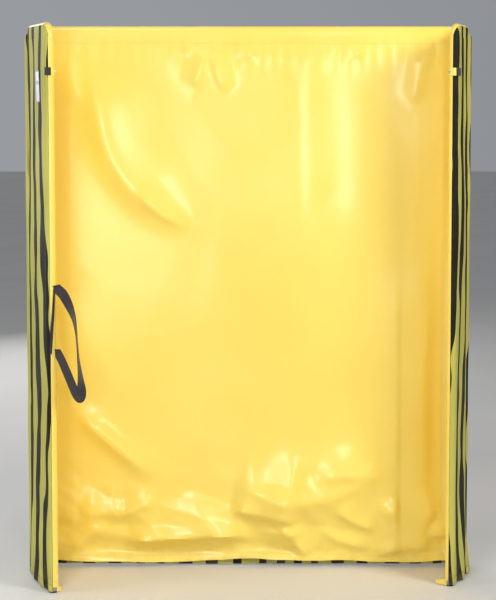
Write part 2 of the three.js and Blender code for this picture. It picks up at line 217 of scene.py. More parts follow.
@dataclass
class Patch:
    """One sewn piece of sheet on a grid: rows by columns of places, and its flat cut in metres."""

    places: Array
    flat: Array
    thickness: Array | float = 0.0009


def facing(places: Array) -> Array:
    """Unit normals of a grid of places.

    Args:
        places: Rows by columns by 3.

    Returns:
        The normals in the same layout.
    """
    across = np.gradient(places, axis=1)
    down = np.gradient(places, axis=0)
    normal = np.cross(across, down)
    return normal / np.maximum(np.linalg.norm(normal, axis=2, keepdims=True), 1e-12)


def mesh_object(
    name: str, vertices: Array, faces: Sequence, flat: Array, bend: float = 50.0
) -> bpy.types.Object:
    """Makes a mesh object with its flat coordinates as a UV map.

    Args:
        name: The piece's name.
        vertices: Places, one row each.
        faces: Tuples of vertex numbers.
        flat: The flat coordinates of each vertex, in metres.
        bend: Edges that turn by more degrees than this are drawn sharp.

    Returns:
        The linked object.
    """
    mesh = bpy.data.meshes.new(name)
    mesh.from_pydata(vertices.tolist(), [], [tuple(map(int, face)) for face in faces])
    corner = np.zeros(len(mesh.loops), np.int32)
    mesh.loops.foreach_get("vertex_index", corner)
    layer = mesh.uv_layers.new(name="flat")
    layer.data.foreach_set("uv", flat[corner].astype(np.float32).ravel())
    mesh.validate()
    mesh.shade_smooth()
    mesh.set_sharp_from_angle(angle=math.radians(bend))
    made = bpy.data.objects.new(name, mesh)
    bpy.context.scene.collection.objects.link(made)
    return made


def sewn(name: str, patches: Sequence[Patch], finish: bpy.types.Material) -> bpy.types.Object:
    """Sews patches into one sheet object, each a thin closed layer.

    Args:
        name: The piece's name.
        patches: The grids that make it up.
        finish: Its material.

    Returns:
        The sheet.
    """
    vertices, faces, flat, base = [], [], [], 0
    for patch in patches:
        rows, columns = patch.places.shape[:2]
        half = np.broadcast_to(np.asarray(patch.thickness, float), (rows, columns))[..., None] / 2
        normal = facing(patch.places)
        count = rows * columns
        vertices.append((patch.places + normal * half).reshape(-1, 3))
        vertices.append((patch.places - normal * half).reshape(-1, 3))
        flat += [patch.flat.reshape(-1, 2)] * 2
        number = np.arange(count).reshape(rows, columns) + base
        a, b, c, d = number[:-1, :-1], number[:-1, 1:], number[1:, 1:], number[1:, :-1]
        front = np.stack([a, b, c, d], -1).reshape(-1, 4)
        back = np.stack([d, c, b, a], -1).reshape(-1, 4) + count
        rim = []
        for edge in (number[0, ::-1], number[-1], number[:, 0], number[::-1, -1]):
            rim.append(np.stack([edge[:-1], edge[1:], edge[1:] + count, edge[:-1] + count], -1))
        faces.append(np.concatenate([front, back, *rim]))
        base += 2 * count
    made = mesh_object(name, np.concatenate(vertices), np.concatenate(faces), np.concatenate(flat))
    made.data.materials.append(finish)
    return made


def turned(
    name: str, profile: Sequence[tuple[float, float]], sides: int, at: Vector, axis: Vector
) -> bpy.types.Object:
    """Turns a profile of (radius, height) pairs about an axis.

    Args:
        name: The piece's name.
        profile: The pairs from the bottom centre to the top centre.
        sides: Points round each ring.
        at: Where the profile's height 0 stands.
        axis: The direction of its height.

    Returns:
        The turned piece.
    """
    angle = np.arange(sides) * 2 * math.pi / sides
    rings = [np.stack([r * np.cos(angle), r * np.sin(angle), np.full(sides, h)], -1) for r, h in profile]
    turn = np.array(axis.to_track_quat("Z", "Y").to_matrix())
    vertices = np.concatenate(rings) @ turn.T + np.array(at)
    flat = np.concatenate([ring[:, :2] for ring in rings])
    faces: list[tuple[int, ...]] = [tuple(range(sides - 1, -1, -1))]
    for ring in range(len(profile) - 1):
        low = ring * sides
        for i in range(sides):
            j = (i + 1) % sides
            faces.append((low + i, low + j, low + sides + j, low + sides + i))
    faces.append(tuple(range((len(profile) - 1) * sides, len(profile) * sides)))
    return mesh_object(name, vertices, faces, flat, 40.0)


@dataclass
class Strap:
    """A length of webbing swept along a line, with softly rounded edges."""

    name: str
    line: Array
    across: Array
    width: float
    thickness: float = WEB_T
    corner: int = 3

    def build(self) -> bpy.types.Object:
        """Sweeps the section along the line.

        Returns:
            The strap, with its flat coordinates across and along.
        """
        along = np.gradient(self.line, axis=0)
        along /= np.linalg.norm(along, axis=1, keepdims=True)
        across = self.across - along * np.sum(self.across * along, axis=1, keepdims=True)
        across /= np.linalg.norm(across, axis=1, keepdims=True)
        up = np.cross(along, across)
        section = self.section()
        rings = (
            self.line[:, None]
            + across[:, None] * section[None, :, :1]
            + up[:, None] * section[None, :, 1:]
        )
        count, sides = rings.shape[:2]
        travelled = np.concatenate([[0.0], np.cumsum(np.linalg.norm(np.diff(self.line, axis=0), axis=1))])
        flat = np.stack(
            [
                np.broadcast_to(section[:, 0], (count, sides)),
                np.broadcast_to(travelled[:, None], (count, sides)),
            ],
            -1,
        )
        faces: list[tuple[int, ...]] = [tuple(range(sides - 1, -1, -1))]
        for ring in range(count - 1):
            for i in range(sides):
                j = (i + 1) % sides
                a, b = ring * sides, (ring + 1) * sides
                faces.append((a + i, a + j, b + j, b + i))
        faces.append(tuple(range((count - 1) * sides, count * sides)))
        return mesh_object(self.name, rings.reshape(-1, 3), faces, flat.reshape(-1, 2), 60.0)

    def section(self) -> Array:
        """The strap's outline: across in the first column and thickness in the second."""
        radius = self.thickness * 0.45
        outline = []
        for sign_x, sign_y, start in ((1, -1, -90), (1, 1, 0), (-1, 1, 90), (-1, -1, 180)):
            centre = (sign_x * (self.width / 2 - radius), sign_y * (self.thickness / 2 - radius))
            for step in range(self.corner + 1):
                angle = math.radians(start + 90 * step / self.corner)
                outline.append((centre[0] + radius * math.cos(angle), centre[1] + radius * math.sin(angle)))
            if sign_x == 1 and sign_y == 1 or sign_x == -1 and sign_y == -1:
                inner = np.linspace(0, 1, 7)[1:-1] * (self.width - 2 * radius)
                for reach in inner:
                    x = sign_x * (self.width / 2 - radius - reach)
                    outline.append((x, sign_y * self.thickness / 2))
        return np.array(outline)


def curve_through(points: Array, count: int) -> Array:
    """A smooth curve through a few points.

    Args:
        points: The points, one row each, with any number of columns.
        count: How many samples to return.

    Returns:
        The samples, evenly spaced in parameter.
    """
    points = np.asarray(points, float)
    padded = np.concatenate([[2 * points[0] - points[1]], points, [2 * points[-1] - points[-2]]])
    t = np.linspace(0, len(points) - 1 - 1e-9, count)
    i = t.astype(int)
    f = (t - i)[:, None]
    p0, p1, p2, p3 = padded[i], padded[i + 1], padded[i + 2], padded[i + 3]
    square = (2 * p0 - 5 * p1 + 4 * p2 - p3) * f**2
    cube = (3 * p1 - p0 - 3 * p2 + p3) * f**3
    return 0.5 * (2 * p1 + (p2 - p0) * f + square + cube)


def middle_of(node: str) -> Vector:
    """The middle of a CAD node's box."""
    low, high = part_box(node)
    return (low + high) / 2


@dataclass(frozen=True)
class Panel:
    """One tube frame: the foot of its near post, and the directions along it and into the booth."""

    near: Vector
    along: Vector
    inside: Vector
    span: float
    rail_z: float

    @classmethod
    def between(cls, near_node: str, far_node: str, rail_node: str) -> "Panel":
        """Reads a panel's place from its posts and its top rail.

        Args:
            near_node: The post that the panel is measured from.
            far_node: The other post.
            rail_node: The top rail.

        Returns:
            The panel, with its inside facing the middle of the booth.
        """
        near, far = middle_of(near_node), middle_of(far_node)
        near.z = far.z = 0.0
        along = (far - near).normalized()
        inside = UP.cross(along)
        if inside.dot(Vector((0.0, -0.05, 0.0)) - near) < 0:
            inside = -inside
        return cls(near, along, inside, (far - near).length, middle_of(rail_node).z)

    def place(self, along: Array, inside: Array, up: Array) -> Array:
        """Turns the panel's own measures into places in the frame.

        Args:
            along: Distance from the near post's axis.
            inside: Distance into the booth from the plane of the posts.
            up: Height above the floor.

        Returns:
            The places, with 3 in the last axis.
        """
        along, inside, up = np.broadcast_arrays(along, inside, up)
        flat_place = (
            np.array(self.near)
            + along[..., None] * np.array(self.along)
            + inside[..., None] * np.array(self.inside)
        )
        return flat_place + up[..., None] * np.array(UP)


class Graph:
    """Lays nodes into one node tree and wires them."""

    def __init__(self, tree: bpy.types.NodeTree) -> None:
        """Starts at the left of a tree."""
        self.tree = tree
        self.column = 0

    def node(self, kind: str, inputs: dict | None = None, **settings: object) -> bpy.types.Node:
        """Adds a node.

        Args:
            kind: Its type name, without the "ShaderNode" in front.
            inputs: Values or sockets for its inputs, by name or number.
            settings: Its own properties.

        Returns:
            The node.
        """
        made = self.tree.nodes.new("ShaderNode" + kind)
        made.location = (self.column * 180, -(self.column % 4) * 120)
        self.column += 1
        for key, value in settings.items():
            setattr(made, key, value)
        for key, value in (inputs or {}).items():
            self.feed(made.inputs[key], value)
        return made

    def feed(self, socket: bpy.types.NodeSocket, value: object) -> None:
        """Wires a socket to another, or sets its own value."""
        if isinstance(value, bpy.types.NodeSocket):
            self.tree.links.new(value, socket)
        else:
            socket.default_value = value

    def maths(self, operation: str, *values: object, clamp: bool = False) -> bpy.types.NodeSocket:
        """One step of arithmetic on values or sockets."""
        made = self.node("Math", dict(enumerate(values)), operation=operation, use_clamp=clamp)
        return made.outputs[0]

    def scaled(
        self, value: object, low: float, high: float, to_low: float, to_high: float
    ) -> bpy.types.NodeSocket:
        """Maps a range of values onto another, smoothly and clamped."""
        inputs = {"Value": value, "From Min": low, "From Max": high, "To Min": to_low, "To Max": to_high}
        return self.node("MapRange", inputs, interpolation_type="SMOOTHSTEP").outputs[0]

    def mixed(self, share: object, first: object, second: object, blend: str = "MIX") -> bpy.types.NodeSocket:
        """Mixes two colours."""
        made = self.node("Mix", {"Factor": share}, data_type="RGBA", blend_type=blend)
        self.feed(made.inputs[6], first)
        self.feed(made.inputs[7], second)
        return made.outputs[2]

    def noise(
        self, where: object, scale: float, detail: float = 2.0, rough: float = 0.5
    ) -> bpy.types.NodeSocket:
        """The value of a noise texture."""
        inputs = {"Vector": where, "Scale": scale, "Detail": detail, "Roughness": rough}
        return self.node("TexNoise", inputs).outputs[0]


class SocketKind(Enum):
    """The kinds of socket that the shared groups use."""

    NUMBER = "NodeSocketFloat"
    VECTOR = "NodeSocketVector"


class Effect:
    """A shader node group under construction: its tree, its inputs and what it puts out."""

    def __init__(self, name: str, inputs: dict[str, float | None], outputs: Sequence[str]) -> None:
        """Makes the group's sockets.

        Args:
            name: The group's name.
            inputs: A default for each number, or None for a vector.
            outputs: The names of the numbers that it puts out.
        """
        self.tree = bpy.data.node_groups.new(name, "ShaderNodeTree")
        self.graph = Graph(self.tree)
        for key, value in inputs.items():
            kind = SocketKind.VECTOR if value is None else SocketKind.NUMBER
            socket = self.tree.interface.new_socket(name=key, in_out="INPUT", socket_type=kind.value)
            if value is not None:
                socket.default_value = value
        for key in outputs:
            self.tree.interface.new_socket(name=key, in_out="OUTPUT", socket_type=SocketKind.NUMBER.value)
        self.inputs = self.tree.nodes.new("NodeGroupInput").outputs
        self.outputs = self.tree.nodes.new("NodeGroupOutput").inputs

    def put(self, **values: bpy.types.NodeSocket) -> bpy.types.NodeTree:
        """Wires the group's outputs.

        Args:
            values: A socket for each output.

        Returns:
            The finished group.
        """
        for key, value in values.items():
            self.tree.links.new(value, self.outputs[key])
        return self.tree


class Effects:
    """The shader effects that several finishes share, each built when it is first used."""

    @cached_property
    def weave(self) -> bpy.types.NodeTree:
        """Plain weave: threads over and under, with their height and their shade."""
        made = Effect("plain_weave", {"Where": None, "Across": 900.0, "Along": 900.0}, ("Height", "Shade"))
        g = made.graph
        parts = g.node("SeparateXYZ", {"Vector": made.inputs["Where"]})
        u = g.maths("MULTIPLY", parts.outputs["X"], made.inputs["Across"])
        v = g.maths("MULTIPLY", parts.outputs["Y"], made.inputs["Along"])
        warp = g.maths("ABSOLUTE", g.maths("SINE", g.maths("MULTIPLY", u, math.pi)))
        weft = g.maths("ABSOLUTE", g.maths("SINE", g.maths("MULTIPLY", v, math.pi)))
        odd = g.maths("PINGPONG", g.maths("ADD", g.maths("FLOOR", u), g.maths("FLOOR", v)), 1.0)
        over = g.maths("MULTIPLY", warp, g.maths("ADD", g.maths("MULTIPLY", odd, 0.6), 0.4))
        under = g.maths("MULTIPLY", weft, g.maths("SUBTRACT", 1.0, g.maths("MULTIPLY", odd, 0.6)))
        height = g.maths("MAXIMUM", over, under)
        uneven = g.noise(made.inputs["Where"], 160.0, 3.0)
        # Shade: thread height, used on the striped cloth as painted shade in the weave's hollows, mixed with
        # random yarn tone.
        shade = g.maths("ADD", g.maths("MULTIPLY", height, 0.6), g.maths("MULTIPLY", uneven, 0.4))
        return made.put(Height=height, Shade=shade)

    @cached_property
    def crumple(self) -> bpy.types.NodeTree:
        """Small creases where film or coated cloth has been folded and handled."""
        made = Effect("handled_creases", {"Where": None, "Size": 14.0, "Amount": 1.0}, ("Height",))
        g = made.graph
        sway = g.noise(made.inputs["Where"], 9.0, 2.0)
        level = {0: made.inputs["Where"], 1: (1.0, 1.0, 0.0)}
        bent = g.node("VectorMath", level, operation="MULTIPLY").outputs[0]
        lifts = {"X": g.maths("MULTIPLY", sway, 0.05), "Y": g.maths("MULTIPLY", sway, -0.04)}
        lift = g.node("CombineXYZ", lifts)
        moved = g.node("VectorMath", {0: bent, 1: lift.outputs[0]}, operation="ADD").outputs[0]
        cells = {"Vector": moved, "Scale": made.inputs["Size"]}
        facets = g.node("TexVoronoi", cells, feature="DISTANCE_TO_EDGE")
        ridge = g.scaled(facets.outputs["Distance"], 0.0, 0.35, 1.0, 0.0)
        soft = g.noise(moved, 30.0, 4.0, 0.6)
        height = g.maths("ADD", g.maths("MULTIPLY", ridge, 0.5), soft)
        return made.put(Height=g.maths("MULTIPLY", height, made.inputs["Amount"]))

    @cached_property
    def stitches(self) -> bpy.types.NodeTree:
        """A row of lock stitches at one height of the flat cut."""
        inputs = {"Where": None, "Row": 0.04, "Pitch": 0.005, "Thread": 0.0009}
        made = Effect("stitch_row", inputs, ("Mask", "Height"))
        g = made.graph
        parts = g.node("SeparateXYZ", {"Vector": made.inputs["Where"]})
        off = g.maths("ABSOLUTE", g.maths("SUBTRACT", parts.outputs["Y"], made.inputs["Row"]))
        beside = g.maths("DIVIDE", off, made.inputs["Thread"])
        step = g.maths("FRACT", g.maths("DIVIDE", parts.outputs["X"], made.inputs["Pitch"]))
        reach = g.maths("ABSOLUTE", g.maths("SUBTRACT", step, 0.5))
        on_row = g.scaled(beside, 0.6, 1.0, 1.0, 0.0)
        mask = g.maths("MULTIPLY", on_row, g.scaled(reach, 0.34, 0.42, 1.0, 0.0))
        by_row = g.scaled(beside, 0.6, 1.4, 1.0, 0.0)
        hole = g.maths("MULTIPLY", by_row, g.scaled(reach, 0.42, 0.46, 0.0, 1.0))
        pull = g.scaled(beside, 0.0, 5.0, -0.5, 0.0)
        height = g.maths("ADD", g.maths("SUBTRACT", mask, hole), pull)
        return made.put(Mask=mask, Height=height)

    @cached_property
    def stripes(self) -> bpy.types.NodeTree:
        """Wavy upright bands: where the dark dye lies."""
        inputs = {"Where": None, "Period": 0.076, "Sway": 0.08, "Dark": 0.5, "Phase": 0.0, "Vary": 0.6}
        made = Effect("wavy_bands", inputs, ("Mask",))
        g = made.graph
        parts = g.node("SeparateXYZ", {"Vector": made.inputs["Where"]})
        across = g.maths("ADD", parts.outputs["X"], made.inputs["Phase"])
        drawn_out = g.maths("MULTIPLY", parts.outputs["Y"], 0.5)
        slow = g.node("CombineXYZ", {"X": across, "Y": drawn_out, "Z": 3.7})
        wander = g.maths("SUBTRACT", g.noise(slow.outputs[0], 2.6, 0.0), 0.5)
        quick = g.maths("SUBTRACT", g.noise(slow.outputs[0], 9.0, 1.0), 0.5)
        shift = g.maths("ADD", wander, g.maths("MULTIPLY", quick, 0.42))
        moved = g.maths("ADD", across, g.maths("MULTIPLY", shift, made.inputs["Sway"]))
        band = g.maths("FRACT", g.maths("DIVIDE", moved, made.inputs["Period"]))
        edge = g.maths("ABSOLUTE", g.maths("SUBTRACT", band, 0.5))
        uneven = g.maths("SUBTRACT", g.noise(slow.outputs[0], 6.5, 1.0), 0.5)
        uneven = g.maths("MULTIPLY", uneven, made.inputs["Vary"])
        half = g.maths("MULTIPLY", g.maths("ADD", made.inputs["Dark"], uneven), 0.5)
        mask = g.maths("DIVIDE", g.maths("SUBTRACT", half, edge), 0.014, clamp=True)
        return made.put(Mask=mask)

    @cached_property
    def dust(self) -> bpy.types.NodeTree:
        """Floor dust and scuffs, strongest at the bottom."""
        made = Effect("floor_dust", {"Where": None, "Height": 0.0, "Reach": 0.12}, ("Mask",))
        g = made.graph
        rise = g.maths("DIVIDE", made.inputs["Height"], made.inputs["Reach"])
        patches = g.noise(made.inputs["Where"], 26.0, 5.0, 0.65)
        low = g.scaled(rise, 0.0, 1.0, 0.75, 0.06)
        return made.put(Mask=g.maths("MULTIPLY", low, g.scaled(patches, 0.35, 0.7, 0.0, 1.0)))

    @cached_property
    def grain(self) -> bpy.types.NodeTree:
        """Fine surface grain with broad smudges: height, gloss and tint."""
        made = Effect("fine_grain", {"Where": None, "Size": 700.0}, ("Height", "Smudge", "Tint"))
        g = made.graph
        fine = g.noise(made.inputs["Where"], made.inputs["Size"], 3.0, 0.55)
        smudge = g.noise(made.inputs["Where"], 5.5, 4.0, 0.62)
        tint = g.noise(made.inputs["Where"], 1.7, 2.0)
        return made.put(Height=fine, Smudge=smudge, Tint=tint)


EFFECTS = Effects()


def linear(red: int, green: int, blue: int) -> tuple[float, float, float, float]:
    """A screen colour, 0 to 255, as the linear colour that shaders use."""

    def straight(value: int) -> float:
        """One channel."""
        share = value / 255
        return share / 12.92 if share <= 0.04045 else ((share + 0.055) / 1.055) ** 2.4

    return (straight(red), straight(green), straight(blue), 1.0)


@dataclass(frozen=True)
class Finish:
    """What every finish has: a name, and a way to start its material."""

    name: str

    def begin(self) -> tuple[bpy.types.Material, Graph, bpy.types.Node]:
        """Makes an empty material.

        Returns:
            The material, its graph and its Principled shader.
        """
        made = bpy.data.materials.new(self.name)
        made.use_nodes = True
        graph = Graph(made.node_tree)
        return made, graph, made.node_tree.nodes["Principled BSDF"]

    def effect(self, graph: Graph, tree: bpy.types.NodeTree, **inputs: object) -> bpy.types.Node:
        """Places a shared effect in the material.

        Args:
            graph: The material's graph.
            tree: The effect's group.
            inputs: Values or sockets for its inputs.

        Returns:
            The placed node.
        """
        placed = graph.node("Group")
        placed.node_tree = tree
        for key, value in inputs.items():
            graph.feed(placed.inputs[key], value)
        return placed

    def bump(
        self, graph: Graph, shader: bpy.types.Node, layers: Sequence[tuple[object, float, float]]
    ) -> None:
        """Stacks bumps on the shader's normal.

        Args:
            graph: The material's graph.
            shader: The Principled shader.
            layers: For each bump, its height socket, its depth in metres and its strength.
        """
        normal = None
        for height, depth, strength in layers:
            inputs = {"Height": height, "Distance": depth, "Strength": strength}
            if normal is not None:
                inputs["Normal"] = normal
            normal = graph.node("Bump", inputs).outputs[0]
        graph.feed(shader.inputs["Normal"], normal)


@dataclass(frozen=True)
class Vinyl(Finish):
    """Glossy curtain vinyl with a fine press grain, hem stitching and floor dust."""

    body: tuple = linear(246, 219, 104)
    deep: tuple = linear(244, 213, 94)
    thread: tuple = linear(232, 204, 92)
    hem_row: float = 0.040
    pocket_row: float = 1.772
    crease: float = 0.5

    def material(self) -> bpy.types.Material:
        """Builds the material."""
        made, g, shader = self.begin()
        flat = g.node("UVMap", uv_map="flat").outputs[0]
        place = g.node("TexCoord").outputs["Object"]
        height = g.node("SeparateXYZ", {"Vector": place}).outputs["Z"]
        grain = self.effect(g, EFFECTS.grain, Where=flat, Size=650.0)
        creases = self.effect(g, EFFECTS.crumple, Where=flat, Size=9.0, Amount=self.crease)
        hem = self.effect(g, EFFECTS.stitches, Where=flat, Row=self.hem_row)
        pocket = self.effect(g, EFFECTS.stitches, Where=flat, Row=self.pocket_row)
        dust = self.effect(g, EFFECTS.dust, Where=place, Height=height)
        sewn_mask = g.maths("MAXIMUM", hem.outputs["Mask"], pocket.outputs["Mask"])
        colour = g.mixed(g.scaled(grain.outputs["Tint"], 0.35, 0.65, 0.0, 1.0), self.body, self.deep)
        colour = g.mixed(g.maths("MULTIPLY", dust.outputs["Mask"], 0.3), colour, linear(160, 138, 88))
        colour = g.mixed(sewn_mask, colour, self.thread)
        g.feed(shader.inputs["Base Color"], colour)
        rough = g.scaled(grain.outputs["Smudge"], 0.3, 0.7, 0.30, 0.42)
        rough = g.maths("ADD", rough, g.maths("MULTIPLY", dust.outputs["Mask"], 0.25), clamp=True)
        g.feed(shader.inputs["Roughness"], rough)
        shader.inputs["Specular IOR Level"].default_value = 0.3
        shader.inputs["Coat Weight"].default_value = 0.4
        shader.inputs["Coat Roughness"].default_value = 0.17
        seams = g.maths("ADD", hem.outputs["Height"], pocket.outputs["Height"])
        self.bump(
            g,
            shader,
            [
                (creases.outputs["Height"], 0.004, 0.22),
                (grain.outputs["Height"], 0.0004, 0.12),
                (seams, 0.0006, 0.6),
            ],
        )
        return made


@dataclass(frozen=True)
class StripedCloth(Finish):
    """Coated woven cloth with wavy upright bands, dark on yellow."""

    light: tuple = linear(196, 192, 92)
    pale: tuple = linear(180, 174, 84)
    dark: tuple = linear(26, 22, 17)
    period: float = 0.076
    sway: float = 0.16
    share: float = 0.46
    phase: float = 0.0
    vary: float = 0.9
    hem_row: float = 0.028

    def material(self) -> bpy.types.Material:
        """Builds the material."""
        made, g, shader = self.begin()
        flat = g.node("UVMap", uv_map="flat").outputs[0]
        place = g.node("TexCoord").outputs["Object"]
        height = g.node("SeparateXYZ", {"Vector": place}).outputs["Z"]
        look = {
            "Period": self.period,
            "Sway": self.sway,
            "Dark": self.share,
            "Phase": self.phase,
            "Vary": self.vary,
        }
        bands = self.effect(g, EFFECTS.stripes, Where=flat, **look)
        weave = self.effect(g, EFFECTS.weave, Where=flat, Across=1000.0, Along=1000.0)
        grain = self.effect(g, EFFECTS.grain, Where=flat, Size=420.0)
        creases = self.effect(g, EFFECTS.crumple, Where=flat, Size=12.0, Amount=0.8)
        hem = self.effect(g, EFFECTS.stitches, Where=flat, Row=self.hem_row)
        dust = self.effect(g, EFFECTS.dust, Where=place, Height=height, Reach=0.16)
        light = g.mixed(g.scaled(grain.outputs["Tint"], 0.35, 0.65, 0.0, 1.0), self.light, self.pale)
        colour = g.mixed(bands.outputs["Mask"], light, self.dark)
        # Painted shade: the cloth is darkened by up to a fifth where the weave's threads lie low, mixed with
        # random yarn tone.
        shade = g.scaled(weave.outputs["Shade"], 0.1, 0.8, 0.82, 1.0)
        thread_shade_grey = g.node("CombineColor", {0: shade, 1: shade, 2: shade}).outputs[0]
        colour = g.mixed(1.0, colour, thread_shade_grey, "MULTIPLY")
        colour = g.mixed(g.maths("MULTIPLY", dust.outputs["Mask"], 0.45), colour, linear(128, 116, 92))
        colour = g.mixed(g.maths("MULTIPLY", hem.outputs["Mask"], 0.9), colour, linear(44, 40, 30))
        g.feed(shader.inputs["Base Color"], colour)
        rough = g.scaled(grain.outputs["Smudge"], 0.3, 0.7, 0.52, 0.66)
        dull = g.maths("MULTIPLY", dust.outputs["Mask"], 0.2)
        g.feed(shader.inputs["Roughness"], g.maths("ADD", rough, dull))
        shader.inputs["Specular IOR Level"].default_value = 0.16
        self.bump(
            g,
            shader,
            [
                (creases.outputs["Height"], 0.004, 0.4),
                (weave.outputs["Height"], 0.0003, 0.35),
                (hem.outputs["Height"], 0.0007, 0.6),
            ],
        )
        return made


@dataclass(frozen=True)
class Webbing(Finish):
    """Ribbed polypropylene webbing, with a stitch row set at -1 m in the flat cut, where no strap reaches."""

    yarn: tuple = linear(34, 26, 34)
    worn: tuple = linear(70, 62, 72)
    row: float = -1.0

    def material(self) -> bpy.types.Material:
        """Builds the material."""
        made, g, shader = self.begin()
        flat = g.node("UVMap", uv_map="flat").outputs[0]
        weave = self.effect(g, EFFECTS.weave, Where=flat, Across=420.0, Along=620.0)
        grain = self.effect(g, EFFECTS.grain, Where=flat, Size=900.0)
        seam = self.effect(g, EFFECTS.stitches, Where=flat, Row=self.row, Pitch=0.0035)
        rubbed = g.scaled(weave.outputs["Shade"], 0.45, 0.95, 0.0, 0.7)
        colour = g.mixed(g.maths("MULTIPLY", rubbed, grain.outputs["Smudge"]), self.yarn, self.worn)
        colour = g.mixed(seam.outputs["Mask"], colour, linear(60, 56, 62))
        g.feed(shader.inputs["Base Color"], colour)
        g.feed(shader.inputs["Roughness"], g.scaled(grain.outputs["Smudge"], 0.2, 0.8, 0.5, 0.72))
        shader.inputs["Sheen Weight"].default_value = 0.25
        shader.inputs["Sheen Roughness"].default_value = 0.4
        self.bump(g, shader, [(weave.outputs["Height"], 0.0008, 0.8), (seam.outputs["Height"], 0.0006, 0.7)])
        return made


@dataclass(frozen=True)
class Metal(Finish):
    """Drawn or plated metal, with fine drawing lines and dulled patches."""

    bright: tuple = linear(196, 198, 200)
    dull: tuple = linear(150, 152, 154)
    low: float = 0.22
    high: float = 0.42

    def material(self) -> bpy.types.Material:
        """Builds the material."""
        made, g, shader = self.begin()
        place = g.node("TexCoord").outputs["Object"]
        height = g.node("SeparateXYZ", {"Vector": place}).outputs["Z"]
        drawn = g.node("Mapping", {"Vector": place, "Scale": (900.0, 900.0, 12.0)}).outputs[0]
        grain = self.effect(g, EFFECTS.grain, Where=place, Size=500.0)
        dust = self.effect(g, EFFECTS.dust, Where=place, Height=height, Reach=0.1)
        lines = g.noise(drawn, 1.0, 2.0)
        colour = g.mixed(g.scaled(grain.outputs["Smudge"], 0.4, 0.7, 0.0, 1.0), self.bright, self.dull)
        colour = g.mixed(g.maths("MULTIPLY", dust.outputs["Mask"], 0.5), colour, linear(112, 104, 90))
        g.feed(shader.inputs["Base Color"], colour)
        rough = g.scaled(lines, 0.3, 0.7, self.low, self.high)
        dull = g.maths("MULTIPLY", dust.outputs["Mask"], 0.3)
        g.feed(shader.inputs["Roughness"], g.maths("ADD", rough, dull))
        shader.inputs["Metallic"].default_value = 1.0
        self.bump(g, shader, [(lines, 0.0002, 0.15), (grain.outputs["Height"], 0.0002, 0.1)])
        return made


@dataclass(frozen=True)
class Moulded(Finish):
    """Moulded plastic or rubber, with a spark-eroded grain and scuffed patches."""

    body: tuple = linear(30, 30, 32)
    scuffed: tuple = linear(62, 62, 64)
    rough: float = 0.5
    grain_size: float = 1100.0

    def material(self) -> bpy.types.Material:
        """Builds the material."""
        made, g, shader = self.begin()
        place = g.node("TexCoord").outputs["Object"]
        height = g.node("SeparateXYZ", {"Vector": place}).outputs["Z"]
        grain = self.effect(g, EFFECTS.grain, Where=place, Size=self.grain_size)
        dust = self.effect(g, EFFECTS.dust, Where=place, Height=height, Reach=0.03)
        scuffs = g.scaled(g.noise(place, 60.0, 5.0, 0.7), 0.55, 0.75, 0.0, 0.7)
        colour = g.mixed(scuffs, self.body, self.scuffed)
        colour = g.mixed(g.maths("MULTIPLY", dust.outputs["Mask"], 0.6), colour, linear(120, 112, 98))
        g.feed(shader.inputs["Base Color"], colour)
        rough = g.scaled(grain.outputs["Smudge"], 0.3, 0.7, self.rough - 0.08, self.rough + 0.1)
        g.feed(shader.inputs["Roughness"], rough)
        self.bump(g, shader, [(grain.outputs["Height"], 0.0004, 0.25)])
        return made


@dataclass(frozen=True)
class BlankLabel(Finish):
    """A plain sewn label with nothing on it but its stitched border."""

    face: tuple = linear(222, 220, 232)
    border: tuple = linear(170, 166, 190)
    width: float = 0.05
    height: float = 0.10

    def material(self) -> bpy.types.Material:
        """Builds the material."""
        made, g, shader = self.begin()
        flat = g.node("UVMap", uv_map="flat").outputs[0]
        weave = self.effect(g, EFFECTS.weave, Where=flat, Across=1600.0, Along=1600.0)
        grain = self.effect(g, EFFECTS.grain, Where=flat, Size=800.0)
        parts = g.node("SeparateXYZ", {"Vector": flat})
        gap_u = g.maths("SUBTRACT", self.width / 2, g.maths("ABSOLUTE", parts.outputs["X"]))
        gap_v = g.maths("SUBTRACT", self.height / 2, g.maths("ABSOLUTE", parts.outputs["Y"]))
        gap = g.maths("MINIMUM", gap_u, gap_v)
        turn = g.maths("ADD", parts.outputs["X"], parts.outputs["Y"])
        round_it = g.node("CombineXYZ", {"X": turn, "Y": gap})
        seam = self.effect(
            g, EFFECTS.stitches, Where=round_it.outputs[0], Row=0.003, Pitch=0.003, Thread=0.0006
        )
        beside = g.maths("ABSOLUTE", g.maths("SUBTRACT", parts.outputs["Y"], 0.012))
        lower = g.maths("SUBTRACT", 0.0065, beside)
        rim = g.scaled(gap, 0.0035, 0.004, 1.0, 0.0)
        band = g.maths("MAXIMUM", rim, g.scaled(lower, 0.0, 0.001, 0.0, 1.0))
        colour = g.mixed(band, self.face, self.border)
        colour = g.mixed(g.maths("MULTIPLY", weave.outputs["Shade"], 0.15), colour, linear(150, 148, 160))
        colour = g.mixed(seam.outputs["Mask"], colour, linear(90, 86, 110))
        g.feed(shader.inputs["Base Color"], colour)
        g.feed(shader.inputs["Roughness"], g.scaled(grain.outputs["Smudge"], 0.3, 0.7, 0.35, 0.5))
        self.bump(g, shader, [(weave.outputs["Height"], 0.0002, 0.3), (seam.outputs["Height"], 0.0005, 0.6)])
        return made


@dataclass(frozen=True)
class FloorPaint(Finish):
    """The plain pale floor."""

    tone: tuple = linear(214, 212, 208)

    def material(self) -> bpy.types.Material:
        """Builds the material."""
        made, g, shader = self.begin()
        place = g.node("TexCoord").outputs["Object"]
        patches = g.noise(place, 1.3, 4.0)
        fine = g.noise(place, 90.0, 4.0)
        colour = g.mixed(g.scaled(patches, 0.35, 0.65, 0.0, 0.35), self.tone, linear(204, 201, 196))
        g.feed(shader.inputs["Base Color"], colour)
        g.feed(shader.inputs["Roughness"], g.scaled(fine, 0.3, 0.7, 0.55, 0.7))
        return made


